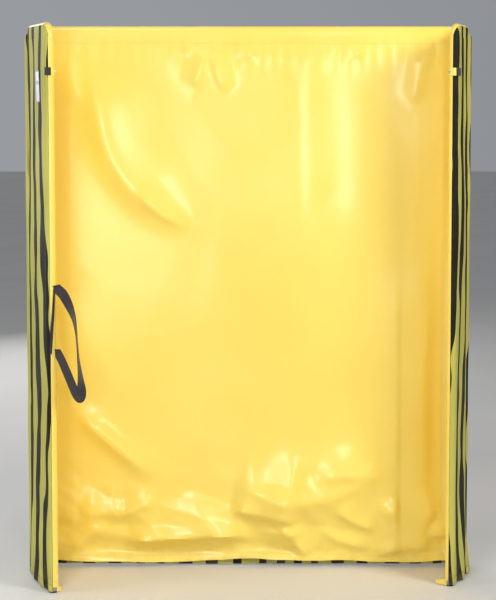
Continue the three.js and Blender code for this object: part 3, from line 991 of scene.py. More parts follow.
class Kit:
    """Every finish on the screen, each made once."""

    @cached_property
    def vinyl(self) -> bpy.types.Material:
        """The inside curtains."""
        return Vinyl("yellow_curtain_vinyl").material()

    @cached_property
    def corner_vinyl(self) -> bpy.types.Material:
        """The inside corner strips, which have no sewn rows."""
        return Vinyl("yellow_corner_vinyl", pocket_row=-1.0, crease=0.8).material()

    @cached_property
    def striped(self) -> bpy.types.Material:
        """The outside covers."""
        return StripedCloth("striped_cover_cloth").material()

    @cached_property
    def striped_left(self) -> bpy.types.Material:
        """The left wing's cover, cut from a wider part of the pattern."""
        return StripedCloth("striped_left_cloth", period=0.092, phase=0.08, sway=0.17).material()

    @cached_property
    def striped_right(self) -> bpy.types.Material:
        """The right wing's cover, cut from a wider part of the pattern."""
        return StripedCloth("striped_right_cloth", period=0.092, phase=0.735, sway=0.17).material()

    @cached_property
    def webbing(self) -> bpy.types.Material:
        """The handle, its backing strip and the closure straps."""
        return Webbing("ribbed_webbing").material()

    @cached_property
    def steel(self) -> bpy.types.Material:
        """The tubes."""
        return Metal("drawn_steel_tube").material()

    @cached_property
    def zinc(self) -> bpy.types.Material:
        """The screws."""
        return Metal("zinc_plate", linear(206, 206, 198), linear(164, 166, 160), 0.25, 0.4).material()

    @cached_property
    def nickel(self) -> bpy.types.Material:
        """The snap caps."""
        return Metal("nickel_plate", linear(222, 218, 210), linear(188, 184, 176), 0.12, 0.24).material()

    @cached_property
    def nylon(self) -> bpy.types.Material:
        """Elbows, saddles, brackets and collars."""
        return Moulded("black_nylon").material()

    @cached_property
    def rubber(self) -> bpy.types.Material:
        """The feet."""
        return Moulded("black_rubber", linear(22, 22, 22), linear(54, 52, 50), 0.72, 700.0).material()

    @cached_property
    def label(self) -> bpy.types.Material:
        """The blank label."""
        return BlankLabel("blank_label_film").material()


KIT = Kit()


def hangs_close(u: Array, v: Array) -> Array:
    """No distance between a cover and its frame."""
    return np.zeros(np.broadcast(u, v).shape)


def cut_level(u: Array) -> Array:
    """No change in a hem's height along it."""
    return np.zeros(np.shape(u))


def lap_steps(degrees: float) -> Array:
    """The angles of a lap's columns, in radians, about nine degrees apart."""
    return np.radians(np.linspace(0, degrees, max(2, round(degrees / 9)) + 1)[1:])


@dataclass
class Cover:
    """A sheet on one side of a panel, which turns round the panel's edges towards the other side.

    Angles are measured round a tube from the sheet's own side.
    """

    panel: Panel
    side: int  # 1 inside the booth, -1 outside
    hem_z: float
    near: float = 0.020  # from the near post's axis to the sheet's near edge
    near_lap: float = 0.0  # how far it turns round the near post, in degrees; 0 leaves that edge free
    far_lap: float = 0.0
    top_lap: float = 180.0
    step_u: float = 0.007
    step_v: float = 0.012
    sway: Callable[[Array, Array], Array] = field(default=hangs_close)
    hem: Callable[[Array], Array] = field(default=cut_level)
    radius: float = SHEET_R

    def turn(
        self, u: Array, v: Array, out_u: Array, out_v: Array, angle: Array, away: Array
    ) -> tuple[Array, Array]:
        """Places the sheet round a tube.

        Args:
            u: Along the panel, of the tube's axis.
            v: Height, of the tube's axis.
            out_u: The edge's outward direction, along the panel.
            out_v: The same, upward.
            angle: How far round the tube, in radians.
            away: Extra distance from the tube.

        Returns:
            The places and the flat cut.
        """
        reach = (self.radius + away) * np.sin(angle)
        depth = self.side * (self.radius + away) * np.cos(angle)
        places = self.panel.place(u + reach * out_u, depth, v + reach * out_v)
        cut = self.radius * angle
        flat = np.stack(np.broadcast_arrays(u + cut * out_u, v + cut * out_v), -1)
        return places, flat

    def body(self) -> Patch:
        """The main patch: the flat sheet and its laps round the posts, below the elbows."""
        top = self.panel.rail_z - BEND_R
        start = 0.0 if self.near_lap else self.near
        middle = np.linspace(start, self.panel.span, round((self.panel.span - start) / self.step_u) + 1)
        near = lap_steps(self.near_lap)[::-1] if self.near_lap else np.zeros(0)
        far = lap_steps(self.far_lap) if self.far_lap else np.zeros(0)
        u = np.concatenate([np.full(len(near), 0.0), middle, np.full(len(far), self.panel.span)])
        out = np.concatenate([np.full(len(near), -1.0), np.zeros(len(middle)), np.full(len(far), 1.0)])
        angle = np.concatenate([near, np.zeros(len(middle)), far])
        v = np.linspace(self.hem_z, top, round((top - self.hem_z) / self.step_v) + 1)[:, None]
        low = smooth(0.30, 0.0, v - self.hem_z) * self.hem(u[None] + out * self.radius * angle)
        away = self.sway(u[None] + out[None] * self.radius * angle[None], v)
        places, flat = self.turn(u[None], v + low, out[None], np.zeros((1, 1)), angle[None], away)
        heavy = 0.0009 + 0.0011 * smooth(0.024, 0.020, v - self.hem_z) + np.zeros(u.shape)[None]
        return Patch(places, flat, heavy)

    def head(self) -> Patch:
        """The flat sheet between the elbows, up to the rail."""
        top, bottom = self.panel.rail_z, self.panel.rail_z - BEND_R
        rise = np.sin(np.linspace(0, math.pi / 2, 9))[:, None]
        pull = BEND_R * (1 - np.sqrt(np.maximum(0.0, 1 - rise**2)))
        left = pull if self.near_lap else self.near + (BEND_R - self.near) * rise
        right = self.panel.span - pull
        share = np.linspace(0, 1, round(self.panel.span / self.step_u) + 1)[None]
        u = left + (right - left) * share
        v = bottom + rise * (top - bottom) + np.zeros(share.shape)
        return Patch(self.panel.place(u, self.side * self.radius, v), np.stack([u, v], -1))

    def rim(self) -> Patch:
        """The sheet over the elbows and the top rail."""
        top, low, span = self.panel.rail_z, self.panel.rail_z - BEND_R, self.panel.span
        bends = np.radians(np.linspace(0, 90, 9))
        run = np.linspace(BEND_R, span - BEND_R, round(span / 0.012) + 1)
        u, v, out_u, out_v, lap = [], [], [], [], []

        def add(us: Array, vs: Array, ous: Array, ovs: Array, laps: Array) -> None:
            """Adds a stretch of the edge."""
            for into, values in zip((u, v, out_u, out_v, lap), (us, vs, ous, ovs, laps)):
                into.append(np.broadcast_to(values, us.shape))

        def eased(share: Array, post: float) -> Array:
            """The lap round a bend, from the post's to the top rail's."""
            return post + (self.top_lap - post) * smooth(0.0, 1.0, share)

        if self.near_lap:
            angle = math.pi - bends
            laps = eased(bends / (math.pi / 2), self.near_lap)
            round_u, round_v = np.cos(angle), np.sin(angle)
            add(BEND_R + BEND_R * round_u, low + BEND_R * round_v, round_u, round_v, laps)
        inner = run[1:-1] if self.near_lap else run[:-1]
        add(inner, np.full(inner.shape, top), np.zeros(1), np.ones(1), np.full(1, self.top_lap))
        angle = math.pi / 2 - bends
        laps = eased(1 - bends / (math.pi / 2), self.far_lap)
        round_u, round_v = np.cos(angle), np.sin(angle)
        add(span - BEND_R + BEND_R * round_u, low + BEND_R * round_v, round_u, round_v, laps)
        u, v, out_u, out_v, lap = (np.concatenate(values)[None] for values in (u, v, out_u, out_v, lap))
        share = np.linspace(0, 1, 15)[:, None]
        places, flat = self.turn(u, v, out_u, out_v, np.radians(lap) * share, np.zeros(1))
        return Patch(places, flat)

    def build(self, name: str, finish: bpy.types.Material, rests_on: Sequence[str]) -> bpy.types.Object:
        """Args:
            name: The piece's name.
            finish: Its material.
            rests_on: What it hangs from; not used.

        Returns:
            The cover.
        """
        patches = [self.body(), self.head(), self.rim()]
        made = sewn(name, patches, finish)
        return made


class Side(Enum):
    """The two wings, by the hand they are on when looking into the booth."""

    LEFT = "left"
    RIGHT = "right"


BACK = Panel.between("left_corner_post", "right_corner_post", "back_top_rail")
WINGS = {
    side: Panel.between(
        f"{side.value}_wing_hinge_post", f"{side.value}_wing_front_post", f"{side.value}_wing_top_rail"
    )
    for side in Side
}


@dataclass
class BackCurtain:
    """The plain vinyl curtain inside the back panel: the sheet that the booth shows most of."""

    half: float = 0.703
    head_half: float = 0.6885
    hem_z: float = 0.020
    columns: int = 196
    rows: int = 226
    wing_reach: float = 0.515  # the right wing, folded in, lies over the curtain from here to its corner
    wing_room: float = 0.09
    over: float = 172.0  # how far the rod pocket turns over the rail, in degrees
    folds: tuple[Fold, ...] = (
        # the long soft fold from the top left corner, and the crease that it ends in
        Fold(((-0.53, 1.77), (-0.50, 1.55), (-0.45, 1.38), (-0.34, 1.24), (-0.19, 1.15)),
             0.021, 0.095, 0.045, 1.6),
        Fold(((-0.38, 1.285), (-0.29, 1.205), (-0.19, 1.15)), 0.011, 0.032, 0.016, 1.2),
        Fold(((-0.60, 1.76), (-0.585, 1.66), (-0.575, 1.55)), 0.006, 0.022, 0.030, 1.6),
        # pull marks below the rod pocket
        Fold(((-0.14, 1.77), (-0.16, 1.70), (-0.18, 1.61)), 0.009, 0.018, 0.030),
        Fold(((-0.12, 1.75), (-0.10, 1.68), (-0.07, 1.60)), 0.009, 0.030, 0.018),
        Fold(((-0.21, 1.79), (-0.19, 1.73)), 0.006, 0.016, 0.020),
        Fold(((-0.05, 1.79), (-0.02, 1.76), (0.02, 1.72)), 0.006, 0.022, 0.018),
        Fold(((0.17, 1.80), (0.18, 1.60), (0.19, 1.30), (0.20, 0.95)), 0.005, 0.080, 0.060, 2.0, 0.3),
        Fold(((0.37, 1.80), (0.36, 1.60), (0.37, 1.30), (0.40, 1.00)), 0.003, 0.060, 0.070, 2.0, 0.3),
        Fold(((0.33, 1.80), (0.38, 1.72)), 0.005, 0.02, 0.03),
        Fold(((0.60, 1.76), (0.57, 1.66), (0.55, 1.56)), 0.006, 0.02, 0.035),
        # the upright fold near the right corner
        Fold(((0.57, 1.05), (0.565, 0.80), (0.56, 0.50), (0.555, 0.30), (0.53, 0.20)),
             0.021, 0.055, 0.110, 1.15, 0.3),
        # the slanting fold at the lower left
        Fold(((-0.60, 0.55), (-0.48, 0.445), (-0.37, 0.355), (-0.29, 0.31)), 0.022, 0.040, 0.034, 1.3),
        # slack that gathers above the hem: the long ledge on the left
        Fold(((-0.43, 0.092), (-0.30, 0.100), (-0.18, 0.108), (-0.06, 0.112), (0.02, 0.092)),
             0.036, 0.080, 0.018, 1.15, 0.2, 0.002),
        Fold(((-0.58, 0.195), (-0.50, 0.185), (-0.41, 0.200)), 0.016, 0.075, 0.030, 1.2),
        Fold(((-0.61, 0.05), (-0.54, 0.110), (-0.47, 0.150)), 0.014, 0.030, 0.020),
        Fold(((-0.45, 0.155), (-0.38, 0.205), (-0.30, 0.215)), 0.012, 0.030, 0.016),
        # the broad ledge that climbs to the right
        Fold(((-0.07, 0.208), (0.04, 0.186), (0.11, 0.172), (0.18, 0.160)),
             0.038, 0.110, 0.020, 1.15, 0.25, 0.002),
        Fold(((0.00, 0.240), (0.15, 0.226), (0.29, 0.250), (0.40, 0.300), (0.50, 0.330)),
             0.036, 0.100, 0.080, 1.2),
        Fold(((0.22, 0.305), (0.33, 0.322), (0.46, 0.325)), 0.014, 0.045, 0.020),
        Fold(((-0.02, 0.270), (0.08, 0.240), (0.15, 0.205)), 0.012, 0.028, 0.020, 1.2),
        Fold(((0.02, 0.135), (0.12, 0.118), (0.20, 0.125)), 0.016, 0.020, 0.020),
        Fold(((0.10, 0.150), (0.155, 0.090), (0.205, 0.022)), 0.020, 0.026, 0.013, 1.2, 0.2),
        Fold(((0.29, 0.200), (0.36, 0.160), (0.44, 0.125)), 0.018, 0.030, 0.014, 1.2),
        Fold(((0.23, 0.150), (0.31, 0.095), (0.42, 0.060)), 0.014, 0.024, 0.020, 1.2),
        Fold(((0.43, 0.190), (0.50, 0.200), (0.60, 0.195), (0.66, 0.180)), 0.030, 0.045, 0.046, 1.2),
        Fold(((0.42, 0.040), (0.52, 0.070), (0.64, 0.090)), 0.018, 0.026, 0.018, 1.2),
    )
    swells: tuple[Swell, ...] = (
        Swell(-0.40, 1.62, 0.09, 0.16, 0.006),
        Swell(-0.13, 1.67, 0.06, 0.06, 0.005),
        Swell(0.05, 1.0, 0.40, 0.50, 0.008),
        Swell(0.20, 0.33, 0.30, 0.14, 0.012),
        Swell(-0.30, 0.20, 0.20, 0.08, 0.008),
        Swell(0.655, 0.50, 0.048, 0.40, -0.034),
        Swell(0.510, 0.00, 0.050, 0.060, -0.012),
        Swell(0.10, 0.045, 0.28, 0.04, -0.010),
        Swell(-0.32, 0.05, 0.22, 0.03, -0.012),
    )

    def height(self, u: Array, v: Array) -> Array:
        """How far the curtain stands out from its plane.

        Args:
            u: Across, from the middle of the panel.
            v: Height above the floor.

        Returns:
            The distance into the booth, in metres.
        """
        total = sum(part.height(u, v) for part in (*self.folds, *self.swells))
        slack = smooth(1.75, 0.3, v)
        slow = Ripple(3, 0.24, 0.80).at(u, v) * (0.0022 + 0.0045 * slack)
        quick = Ripple(5, 0.085, 0.26).at(u, v) * (0.0004 + 0.0008 * slack)
        low = smooth(0.46, 0.12, v)
        crumple = low * (0.0085 * Facets(8, 0.15, 0.11).at(u, v) + 0.0034 * Facets(17, 0.065, 0.05).at(u, v))
        crumple = crumple + 0.0016 * Facets(27, 0.21, 0.30).at(u, v)
        pucker = np.abs(np.sin(math.pi * (u / 0.047 + 0.6 * Ripple(11, 0.15, 0.3).at(u, v))))
        drawn = 0.0022 * pucker * smooth(1.64, 1.77, v) * smooth(1.795, 1.775, v)
        drawn = drawn * (0.35 + 0.65 * np.abs(Ripple(13, 0.12, 1.0).at(u, np.zeros(np.shape(v)))))
        sides = smooth(self.half, self.half - 0.05, np.abs(u))
        top = smooth(self.top_z, self.top_z - 0.10, v)
        hem = 0.30 + 0.70 * smooth(self.hem_z, self.hem_z + 0.05, v)
        out = (total + slow + quick + crumple) * sides * top * hem + drawn * sides
        rail = smooth(0.045, 0.012, np.abs(v - self.rail_z))
        back = 0.024 * (1 - rail) + 0.0002
        clear = 0.15 * smooth(self.wing_reach, self.wing_reach - 0.05, u)
        room = self.wing_room * (BACK.span / 2 - u) - 0.001 + clear
        room = np.maximum(room, 0.0005)
        return np.where(out < 0, -back * np.tanh(-out / back), room * np.tanh(out / room))

    @property
    def rail_z(self) -> float:
        """The height of the lower rail's axis."""
        return middle_of("back_lower_rail").z

    @property
    def top_z(self) -> float:
        """The height of the top rail's axis."""
        return BACK.rail_z

    def build(self) -> bpy.types.Object:
        """Lays the sheet from behind the rail, over it and down to the hem."""
        turns = np.radians(np.linspace(self.over, 0.0, 19))
        fall = np.linspace(0.0, 1.0, self.rows)[1:]
        fall = fall + 0.06 * np.sin(2 * math.pi * fall) / (2 * math.pi)
        drop = self.top_z - fall * (self.top_z - self.hem_z)
        axis_z = np.concatenate([np.full(len(turns), self.top_z), drop])[:, None]
        angle = np.concatenate([turns, np.zeros(len(drop))])[:, None]
        share = np.linspace(-1, 1, self.columns)[None]
        widening = smooth(self.top_z - 0.004, self.top_z - BEND_R, axis_z)
        half = self.head_half + (self.half - self.head_half) * widening
        u = share * half
        out = self.height(u, axis_z) * (angle == 0)
        wave = 0.004 * np.sin(7.0 * u + 1.0) + 0.004 * Ripple(21, 0.11, 1.0).at(u, np.zeros(1))
        up = axis_z + SHEET_R * np.sin(angle) + smooth(self.hem_z + 0.08, self.hem_z, axis_z) * (wave + 0.002)
        depth = (SHEET_R) * np.cos(angle) + out
        flick = 0.006 * smooth(self.hem_z + 0.035, self.hem_z, axis_z) * (0.6 + 0.4 * np.sin(11 * u))
        flick = flick * smooth(self.half, self.half - 0.09, np.abs(u))
        places = BACK.place(u + BACK.span / 2, depth + flick, up)
        flat = np.stack(np.broadcast_arrays(u, axis_z + SHEET_R * angle), -1)
        heavy = 0.0009 + 0.0012 * smooth(self.hem_z + 0.024, self.hem_z + 0.021, axis_z) + np.zeros(u.shape)
        made = sewn("back_inner_curtain_vinyl", [Patch(places, flat, heavy)], KIT.vinyl)
        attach(made, "back_panel")
        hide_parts("back_inner_curtain")
        return made


@dataclass
class BackCover:
    """The striped cover behind the back panel, which turns round both corner posts."""

    hem_z: float = 0.006
    wrap: float = 115.0  # from the rear face, round the side of a post and a little past it

    def sway(self, u: Array, v: Array) -> Array:
        """How far the cover hangs away from the frame."""
        middle = smooth(0.0, 0.10, u) * smooth(BACK.span, BACK.span - 0.10, u)
        low = smooth(1.75, 0.4, v)
        slow = 0.5 + 0.5 * Ripple(31, 0.16, 0.9).at(u, v)
        quick = Ripple(33, 0.06, 0.4).at(u, v)
        tuck = -0.020 * smooth(0.060, 0.0, v)
        return middle * (0.007 * low * slow + 0.0012 * quick + tuck) + 0.0008 * slow

    def build(self) -> bpy.types.Object:
        """Sews the cover on the outside of the back panel."""
        cover = Cover(BACK, -1, self.hem_z, 0.0, self.wrap, self.wrap, 9.0, 0.010, 0.012, self.sway)
        made = cover.build("back_outer_cover_cloth", KIT.striped, ["back_top_rail"])
        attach(made, "back_panel")
        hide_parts("back_outer_cover")
        return made


@dataclass
class Wing:
    """One hinged wing: its curtain, cover, hem tail, closure strap and snap."""

    side: Side
    tail: float
    seed: int
    seam: float = 112.0  # degrees round the front post to where vinyl and striped cloth meet
    gap: float = 4.0
    hem_inner: float = 0.020
    hem_outer: float = 0.006
    closure_w: float = 0.025
    slack: float = 0.005  # how far the curtain hangs off the frame
    ruffle: float = 0.003  # how far the cover's hem stands out in waves
    reach: float = -112.0  # how far the closure's webbing runs round the outside
    meet: float = -12.0  # where the closure's webbing gives way to its vinyl facing
    snap_at: float = 70.0

    @property
    def panel(self) -> Panel:
        """The wing's frame."""
        return WINGS[self.side]

    @property
    def body(self) -> str:
        """The CAD body that the wing's pieces ride on."""
        return f"{self.side.value}_wing"

    def inner_sway(self, u: Array, v: Array) -> Array:
        """How far the curtain hangs into the booth."""
        free = smooth(self.panel.span + 0.004, self.panel.span - 0.05, u)
        low = smooth(1.78, 1.2, v)
        slow = 0.5 + 0.5 * Ripple(self.seed, 0.09, 0.5).at(u, v)
        quick = Ripple(self.seed + 1, 0.045, 0.2).at(u, v)
        return free * low * (self.slack * slow + 0.0012 * quick)

    def outer_sway(self, u: Array, v: Array) -> Array:
        """How far the cover hangs away outside."""
        span = self.panel.span
        free = smooth(span - 0.012, span - 0.07, u) * (0.25 + 0.75 * smooth(0.01, 0.05, u))
        low = smooth(1.78, 0.5, v)
        slow = 0.5 + 0.5 * Ripple(self.seed + 2, 0.07, 0.7).at(u, v)
        quick = Ripple(self.seed + 3, 0.035, 0.3).at(u, v)
        flare = smooth(0.30, 0.0, v) * 0.006
        wave = 0.5 - 0.5 * np.cos(2 * math.pi * (u / 0.085 + 1.2 * v))
        flare = flare + self.ruffle * smooth(0.17, 0.02, v) * wave
        edge = 0.0007 * (0.5 + 0.5 * Ripple(self.seed + 4, 0.5, 0.12).at(u, v))
        return free * (0.009 * low * slow + 0.0016 * quick + flare) + edge

    def curtain(self) -> bpy.types.Object:
        """The plain vinyl inside the wing."""
        cover = Cover(self.panel, 1, self.hem_inner, far_lap=self.seam, top_lap=150.0, sway=self.inner_sway)
        name = f"{self.side.value}_wing_inner_curtain"
        made = cover.build(name + "_vinyl", KIT.vinyl, [f"{self.side.value}_wing_top_rail"])
        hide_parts(name)
        return made

    def cover(self) -> bpy.types.Object:
        """The striped cloth outside the wing."""
        lap = 180.0 - self.seam - self.gap
        cover = Cover(self.panel, -1, self.hem_outer, far_lap=lap, top_lap=28.0, sway=self.outer_sway)
        name = f"{self.side.value}_wing_outer_cover"
        finish = getattr(KIT, f"striped_{self.side.value}")
        made = cover.build(name + "_cloth", finish, [f"{self.side.value}_wing_top_rail"])
        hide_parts(name)
        return made

    def hem_tail(self) -> bpy.types.Object:
        """The loose end of the front hem, which turns inward on the floor."""
        span = self.panel.span
        along = np.linspace(0, 1, 15)[None]
        rise = np.linspace(0, 1, 5)[:, None]
        angle = np.radians(60) * smooth(0.0, 0.25, along)
        reach = SHEET_R + self.tail * along
        u = span + 0.0090 * np.cos(angle * 0.5) + 0.004 * np.sin(4.5 * along) * along
        inside = reach * 0.98 - 0.006 * (1 - along)
        v = 0.0022 + 0.003 * along + rise * (0.024 - 0.013 * along) + 0.003 * along * np.sin(math.pi * rise)
        places = self.panel.place(u + 0.003 * (rise - 0.5), inside, v)
        flat = np.stack(np.broadcast_arrays(span + reach, v), -1)
        made = sewn(f"{self.side.value}_wing_hem_tail", [Patch(places, flat, 0.0016)], KIT.corner_vinyl)
        return made

    def tab(
        self, name: str, start: float, end: float, finish: bpy.types.Material
    ) -> bpy.types.Object:
        """Folds one part of the closure strap round the front edge.

        Args:
            name: The piece's name.
            start: Where it starts, in degrees from the front towards the inside.
            end: Where it ends; beyond 90 either way it runs on flat behind the post.
            finish: Its material.

        Returns:
            The strap.
        """
        low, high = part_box(f"{self.side.value}_wing_closure_strap")
        z = (low.z + high.z) / 2
        radius = SHEET_R + 0.0006 + CLOTH_GAP + WEB_T / 2
        angle = np.linspace(start, end, 25)
        past = np.maximum(np.abs(angle) - 90, 0) * 0.001  # a millimetre of flat run for each degree
        bend = np.radians(np.clip(angle, -90, 90))
        along = self.panel.span + radius * np.cos(bend) - past
        line = self.panel.place(along, radius * np.sin(bend), np.full(25, z))
        strap = Strap(name, line, np.broadcast_to(np.array(UP), line.shape), self.closure_w).build()
        strap.data.materials.append(finish)
        return strap

    def closure(self) -> list[bpy.types.Object]:
        """The strap round the front edge: webbing outside, vinyl inside, and its snap."""
        name = f"{self.side.value}_wing"
        webbing = self.tab(name + "_closure_webbing", self.reach, self.meet, KIT.webbing)
        facing_tab = self.tab(
            name + "_closure_facing", self.meet + 1.0, 112.0, KIT.corner_vinyl
        )
        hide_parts(f"{self.side.value}_wing_closure_strap")
        low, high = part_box(f"{self.side.value}_wing_closure_strap")
        radius = SHEET_R + 0.0006 + CLOTH_GAP + WEB_T
        lean = math.radians(self.snap_at)
        outward = self.panel.along * math.cos(lean) + self.panel.inside * math.sin(lean)
        foot = self.panel.near + self.panel.along * self.panel.span + UP * ((low.z + high.z) / 2)
        profile = [(0.0065, -0.0012), (0.0072, 0.0006), (0.0068, 0.0012), (0.0054, 0.0016), (0.0050, 0.0014)]
        profile += [(0.0044, 0.0018), (0.0036, 0.0026), (0.0020, 0.0031), (0.0006, 0.0032)]
        snap = turned(f"{self.side.value}_wing_snap_cap", profile, 36, foot + outward * radius, outward)
        snap.data.materials.append(KIT.nickel)
        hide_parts(f"{self.side.value}_wing_closure_snap")
        return [webbing, facing_tab, snap]

    def build(self) -> list[bpy.types.Object]:
        """Makes every soft piece of the wing and sets it riding."""
        pieces = [self.curtain(), self.cover(), self.hem_tail(), *self.closure()]
        for piece in pieces:
            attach(piece, self.body)
        return pieces


@dataclass
class Corner:
    """The strips that close the gap at a hinge, inside and outside."""

    side: Side
    near: float = 0.020
    top: float = 1.800
    inner_hem: float = 0.020
    outer_hem: float = 0.006
    bands_from: float = 0.046  # where the striped bands are taken up from the cover beside it
    slack: float = 0.005

    @property
    def hinge(self) -> Array:
        """The hinge axis, in plan."""
        return np.array(WINGS[self.side].near)[:2]

    @property
    def hand(self) -> float:
        """-1 on the left and 1 on the right."""
        return -1.0 if self.side is Side.LEFT else 1.0

    def strip(
        self, name: str, plan: Array, low: float, high: float, start_u: float,
        finish: bpy.types.Material, slot: str,
    ) -> bpy.types.Object:
        """Hangs an upright strip along a line in plan.

        Args:
            name: The piece's name.
            plan: The line's points, (x, y) rows, from the back panel to the wing.
            low: Height of its hem.
            high: Height of its top.
            start_u: The flat coordinate where it starts, so that bands run on.
            finish: Its material.
            slot: A slot name; not used.

        Returns:
            The strip, which runs across the hinge.
        """
        rows = np.linspace(low, high, 150)[:, None]
        line = curve_through(plan, 23)
        steps = np.linalg.norm(np.diff(line, axis=0), axis=1)
        travelled = np.concatenate([[0.0], np.cumsum(steps)])[None]
        share = travelled / travelled[0, -1]
        away = line[None] - self.hinge[None, None]
        away = away / np.linalg.norm(away, axis=2, keepdims=True)
        free = np.sin(math.pi * share)
        wave = 0.0016 * free * (1 + Ripple(41, 1.0, 0.16).at(share, rows))
        bend = np.clip((rows - BACK.rail_z + BEND_R) / BEND_R, 0.0, 0.9)
        pull = BEND_R * (1 - np.sqrt(1 - bend**2))
        inward = (1 - share)[..., None] * np.array([-self.hand, 0.0])
        inward = inward + share[..., None] * np.array(WINGS[self.side].along)[:2]
        plan_places = line[None] + away * wave[..., None] + pull[..., None] * inward
        places = np.dstack([plan_places, np.broadcast_to(rows, plan_places.shape[:2])])
        flat = np.stack(np.broadcast_arrays(start_u + travelled, rows), -1)
        made = sewn(name, [Patch(places, flat)], finish)
        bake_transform(made)
        return made

    def build(self) -> list[bpy.types.Object]:
        """Makes the inner and the outer strip."""
        wing = WINGS[self.side]
        post = np.array([self.hand * BACK.span / 2, BACK.near.y])
        inner_start = np.array([self.hand * 0.703, BACK.near.y - SHEET_R])
        inner_end = wing.place(self.near, SHEET_R, np.array(0.0))[:2]
        bow = (inner_start + inner_end) / 2
        bow = self.hinge + (bow - self.hinge) * (1 + self.slack / np.linalg.norm(bow - self.hinge))
        plan = np.array([inner_start, bow, inner_end])
        name = f"{self.side.value}_inner_corner_strip"
        inner = self.strip(
            name, plan, self.inner_hem, self.top, 0.0, KIT.corner_vinyl, "yellow_vinyl"
        )
        turn = math.radians(25)
        outer_start = post + SHEET_R * np.array([self.hand * math.cos(turn), -math.sin(turn)])
        outer_end = wing.place(self.near, -SHEET_R, np.array(0.0))[:2]
        ring = self.hinge + np.array([self.hand * 0.0188, 0.001])
        plan = np.array([outer_start, ring, outer_end])
        name = f"{self.side.value}_outer_corner_strip"
        cloth = KIT.striped_left if self.side is Side.LEFT else KIT.striped_right
        outer = self.strip(
            name, plan, self.outer_hem, self.top, self.bands_from, cloth, "striped_cover"
        )
        return [inner, outer]


@dataclass
class CarryHandle:
    """The webbing loop on the left wing's front edge, and the strip that backs it."""

    clear: float = 0.0208  # from the front post's axis to the loop's ends
    turn: float = 40.0  # degrees inward from the wing's plane
    width: float = 0.0315
    flap: float = 10.0  # how far each sewn end lies back round the edge, in degrees
    # out from the backing strip, height, and how far the webbing is rolled towards its flat side, in degrees
    route: tuple[tuple[float, float, float], ...] = (
        (0.000, 0.987, 62),
        (0.024, 0.972, 50),
        (0.048, 0.938, 22),
        (0.070, 0.890, -14),
        (0.079, 0.835, -29),
        (0.084, 0.775, -27),
        (0.093, 0.705, -4),
        (0.096, 0.660, 44),
        (0.088, 0.642, 78),
        (0.074, 0.655, 92),
        (0.046, 0.708, 94),
        (0.020, 0.756, 92),
        (0.000, 0.786, 90),
    )
    # share of the way down, and degrees from the wing's plane
    backing: tuple[tuple[float, float], ...] = ((0.00, 24), (0.25, 14), (0.6, -6), (1.00, -20))
    backing_half: float = 15.0

    def path(self) -> tuple[Array, Array]:
        """The loop's centre line with its sewn ends, and the roll along it."""
        wing = WINGS[Side.LEFT]
        samples = curve_through(np.array(self.route), 111)
        foot = np.array(wing.near) + np.array(wing.along) * wing.span

        def ray(degrees: Array) -> Array:
            """The direction at an angle from the wing's plane towards its inside."""
            turn = np.radians(np.atleast_1d(degrees))[:, None]
            return np.array(wing.along) * np.cos(turn) + np.array(wing.inside) * np.sin(turn)

        out = ray(self.turn)
        loop = foot + (self.clear + samples[:, :1]) * out + samples[:, 1:2] * np.array(UP)
        sweep = np.linspace(self.turn - self.flap, self.turn, 9)[:-1]
        top_z = samples[0, 1] + 0.010 * ((self.turn - sweep) / self.flap)
        low_z = samples[-1, 1] + 0.006 * ((self.turn - sweep) / self.flap)
        first = foot + self.clear * ray(sweep) + top_z[:, None] * np.array(UP)
        last = foot + self.clear * ray(sweep) + low_z[:, None] * np.array(UP)
        line = np.concatenate([first, loop, last[::-1]])
        roll = np.concatenate([np.full(8, samples[0, 2]), samples[:, 2], np.full(8, samples[-1, 2])])
        for _ in range(6):
            line[1:-1] = (line[:-2] + 2 * line[1:-1] + line[2:]) / 4
        return line, roll

    def build(self) -> list[bpy.types.Object]:
        """Sweeps the loop and bends the backing strip round the edge."""
        wing = WINGS[Side.LEFT]
        turn = math.radians(self.turn)
        out = np.array(wing.along) * math.cos(turn) + np.array(wing.inside) * math.sin(turn)
        side = np.array(UP.cross(Vector(out)))
        line, roll = self.path()
        along = np.gradient(line, axis=0)
        along /= np.linalg.norm(along, axis=1, keepdims=True)
        level = np.broadcast_to(side, line.shape)
        up = np.cross(along, level)
        roll = np.radians(roll)[:, None]
        across = level * np.cos(roll) + up * np.sin(roll)
        loop = Strap("carry_handle_webbing", line, across, self.width).build()
        loop.data.materials.append(KIT.webbing)
        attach(loop, "handle")
        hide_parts("carry_handle")
        low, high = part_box("handle_backing_strip")
        radius = SHEET_R + 0.0006 + CLOTH_GAP + WEB_T / 2
        share = np.linspace(0.0, 1.0, 90)[:, None]
        z = high.z - 0.030 + share * (low.z + 0.012 - high.z + 0.030)
        middle = np.interp(share, *np.array(self.backing).T)
        half = self.backing_half * (0.75 + 0.25 * np.sin(math.pi * share))
        angle = middle + half * np.linspace(-1, 1, 9)[None]
        edge = np.radians(angle)
        places = wing.place(wing.span + radius * np.cos(edge), radius * np.sin(edge), z)
        flat = np.stack(np.broadcast_arrays(radius * edge, z), -1)
        heavy = WEB_T * (0.6 + 0.4 * smooth(half, half - 4, np.abs(angle - middle)))
        strip = sewn("handle_backing_webbing", [Patch(places, flat, heavy)], KIT.webbing)
        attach(strip, "left_wing")
        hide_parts("handle_backing_strip")
        return [loop, strip]


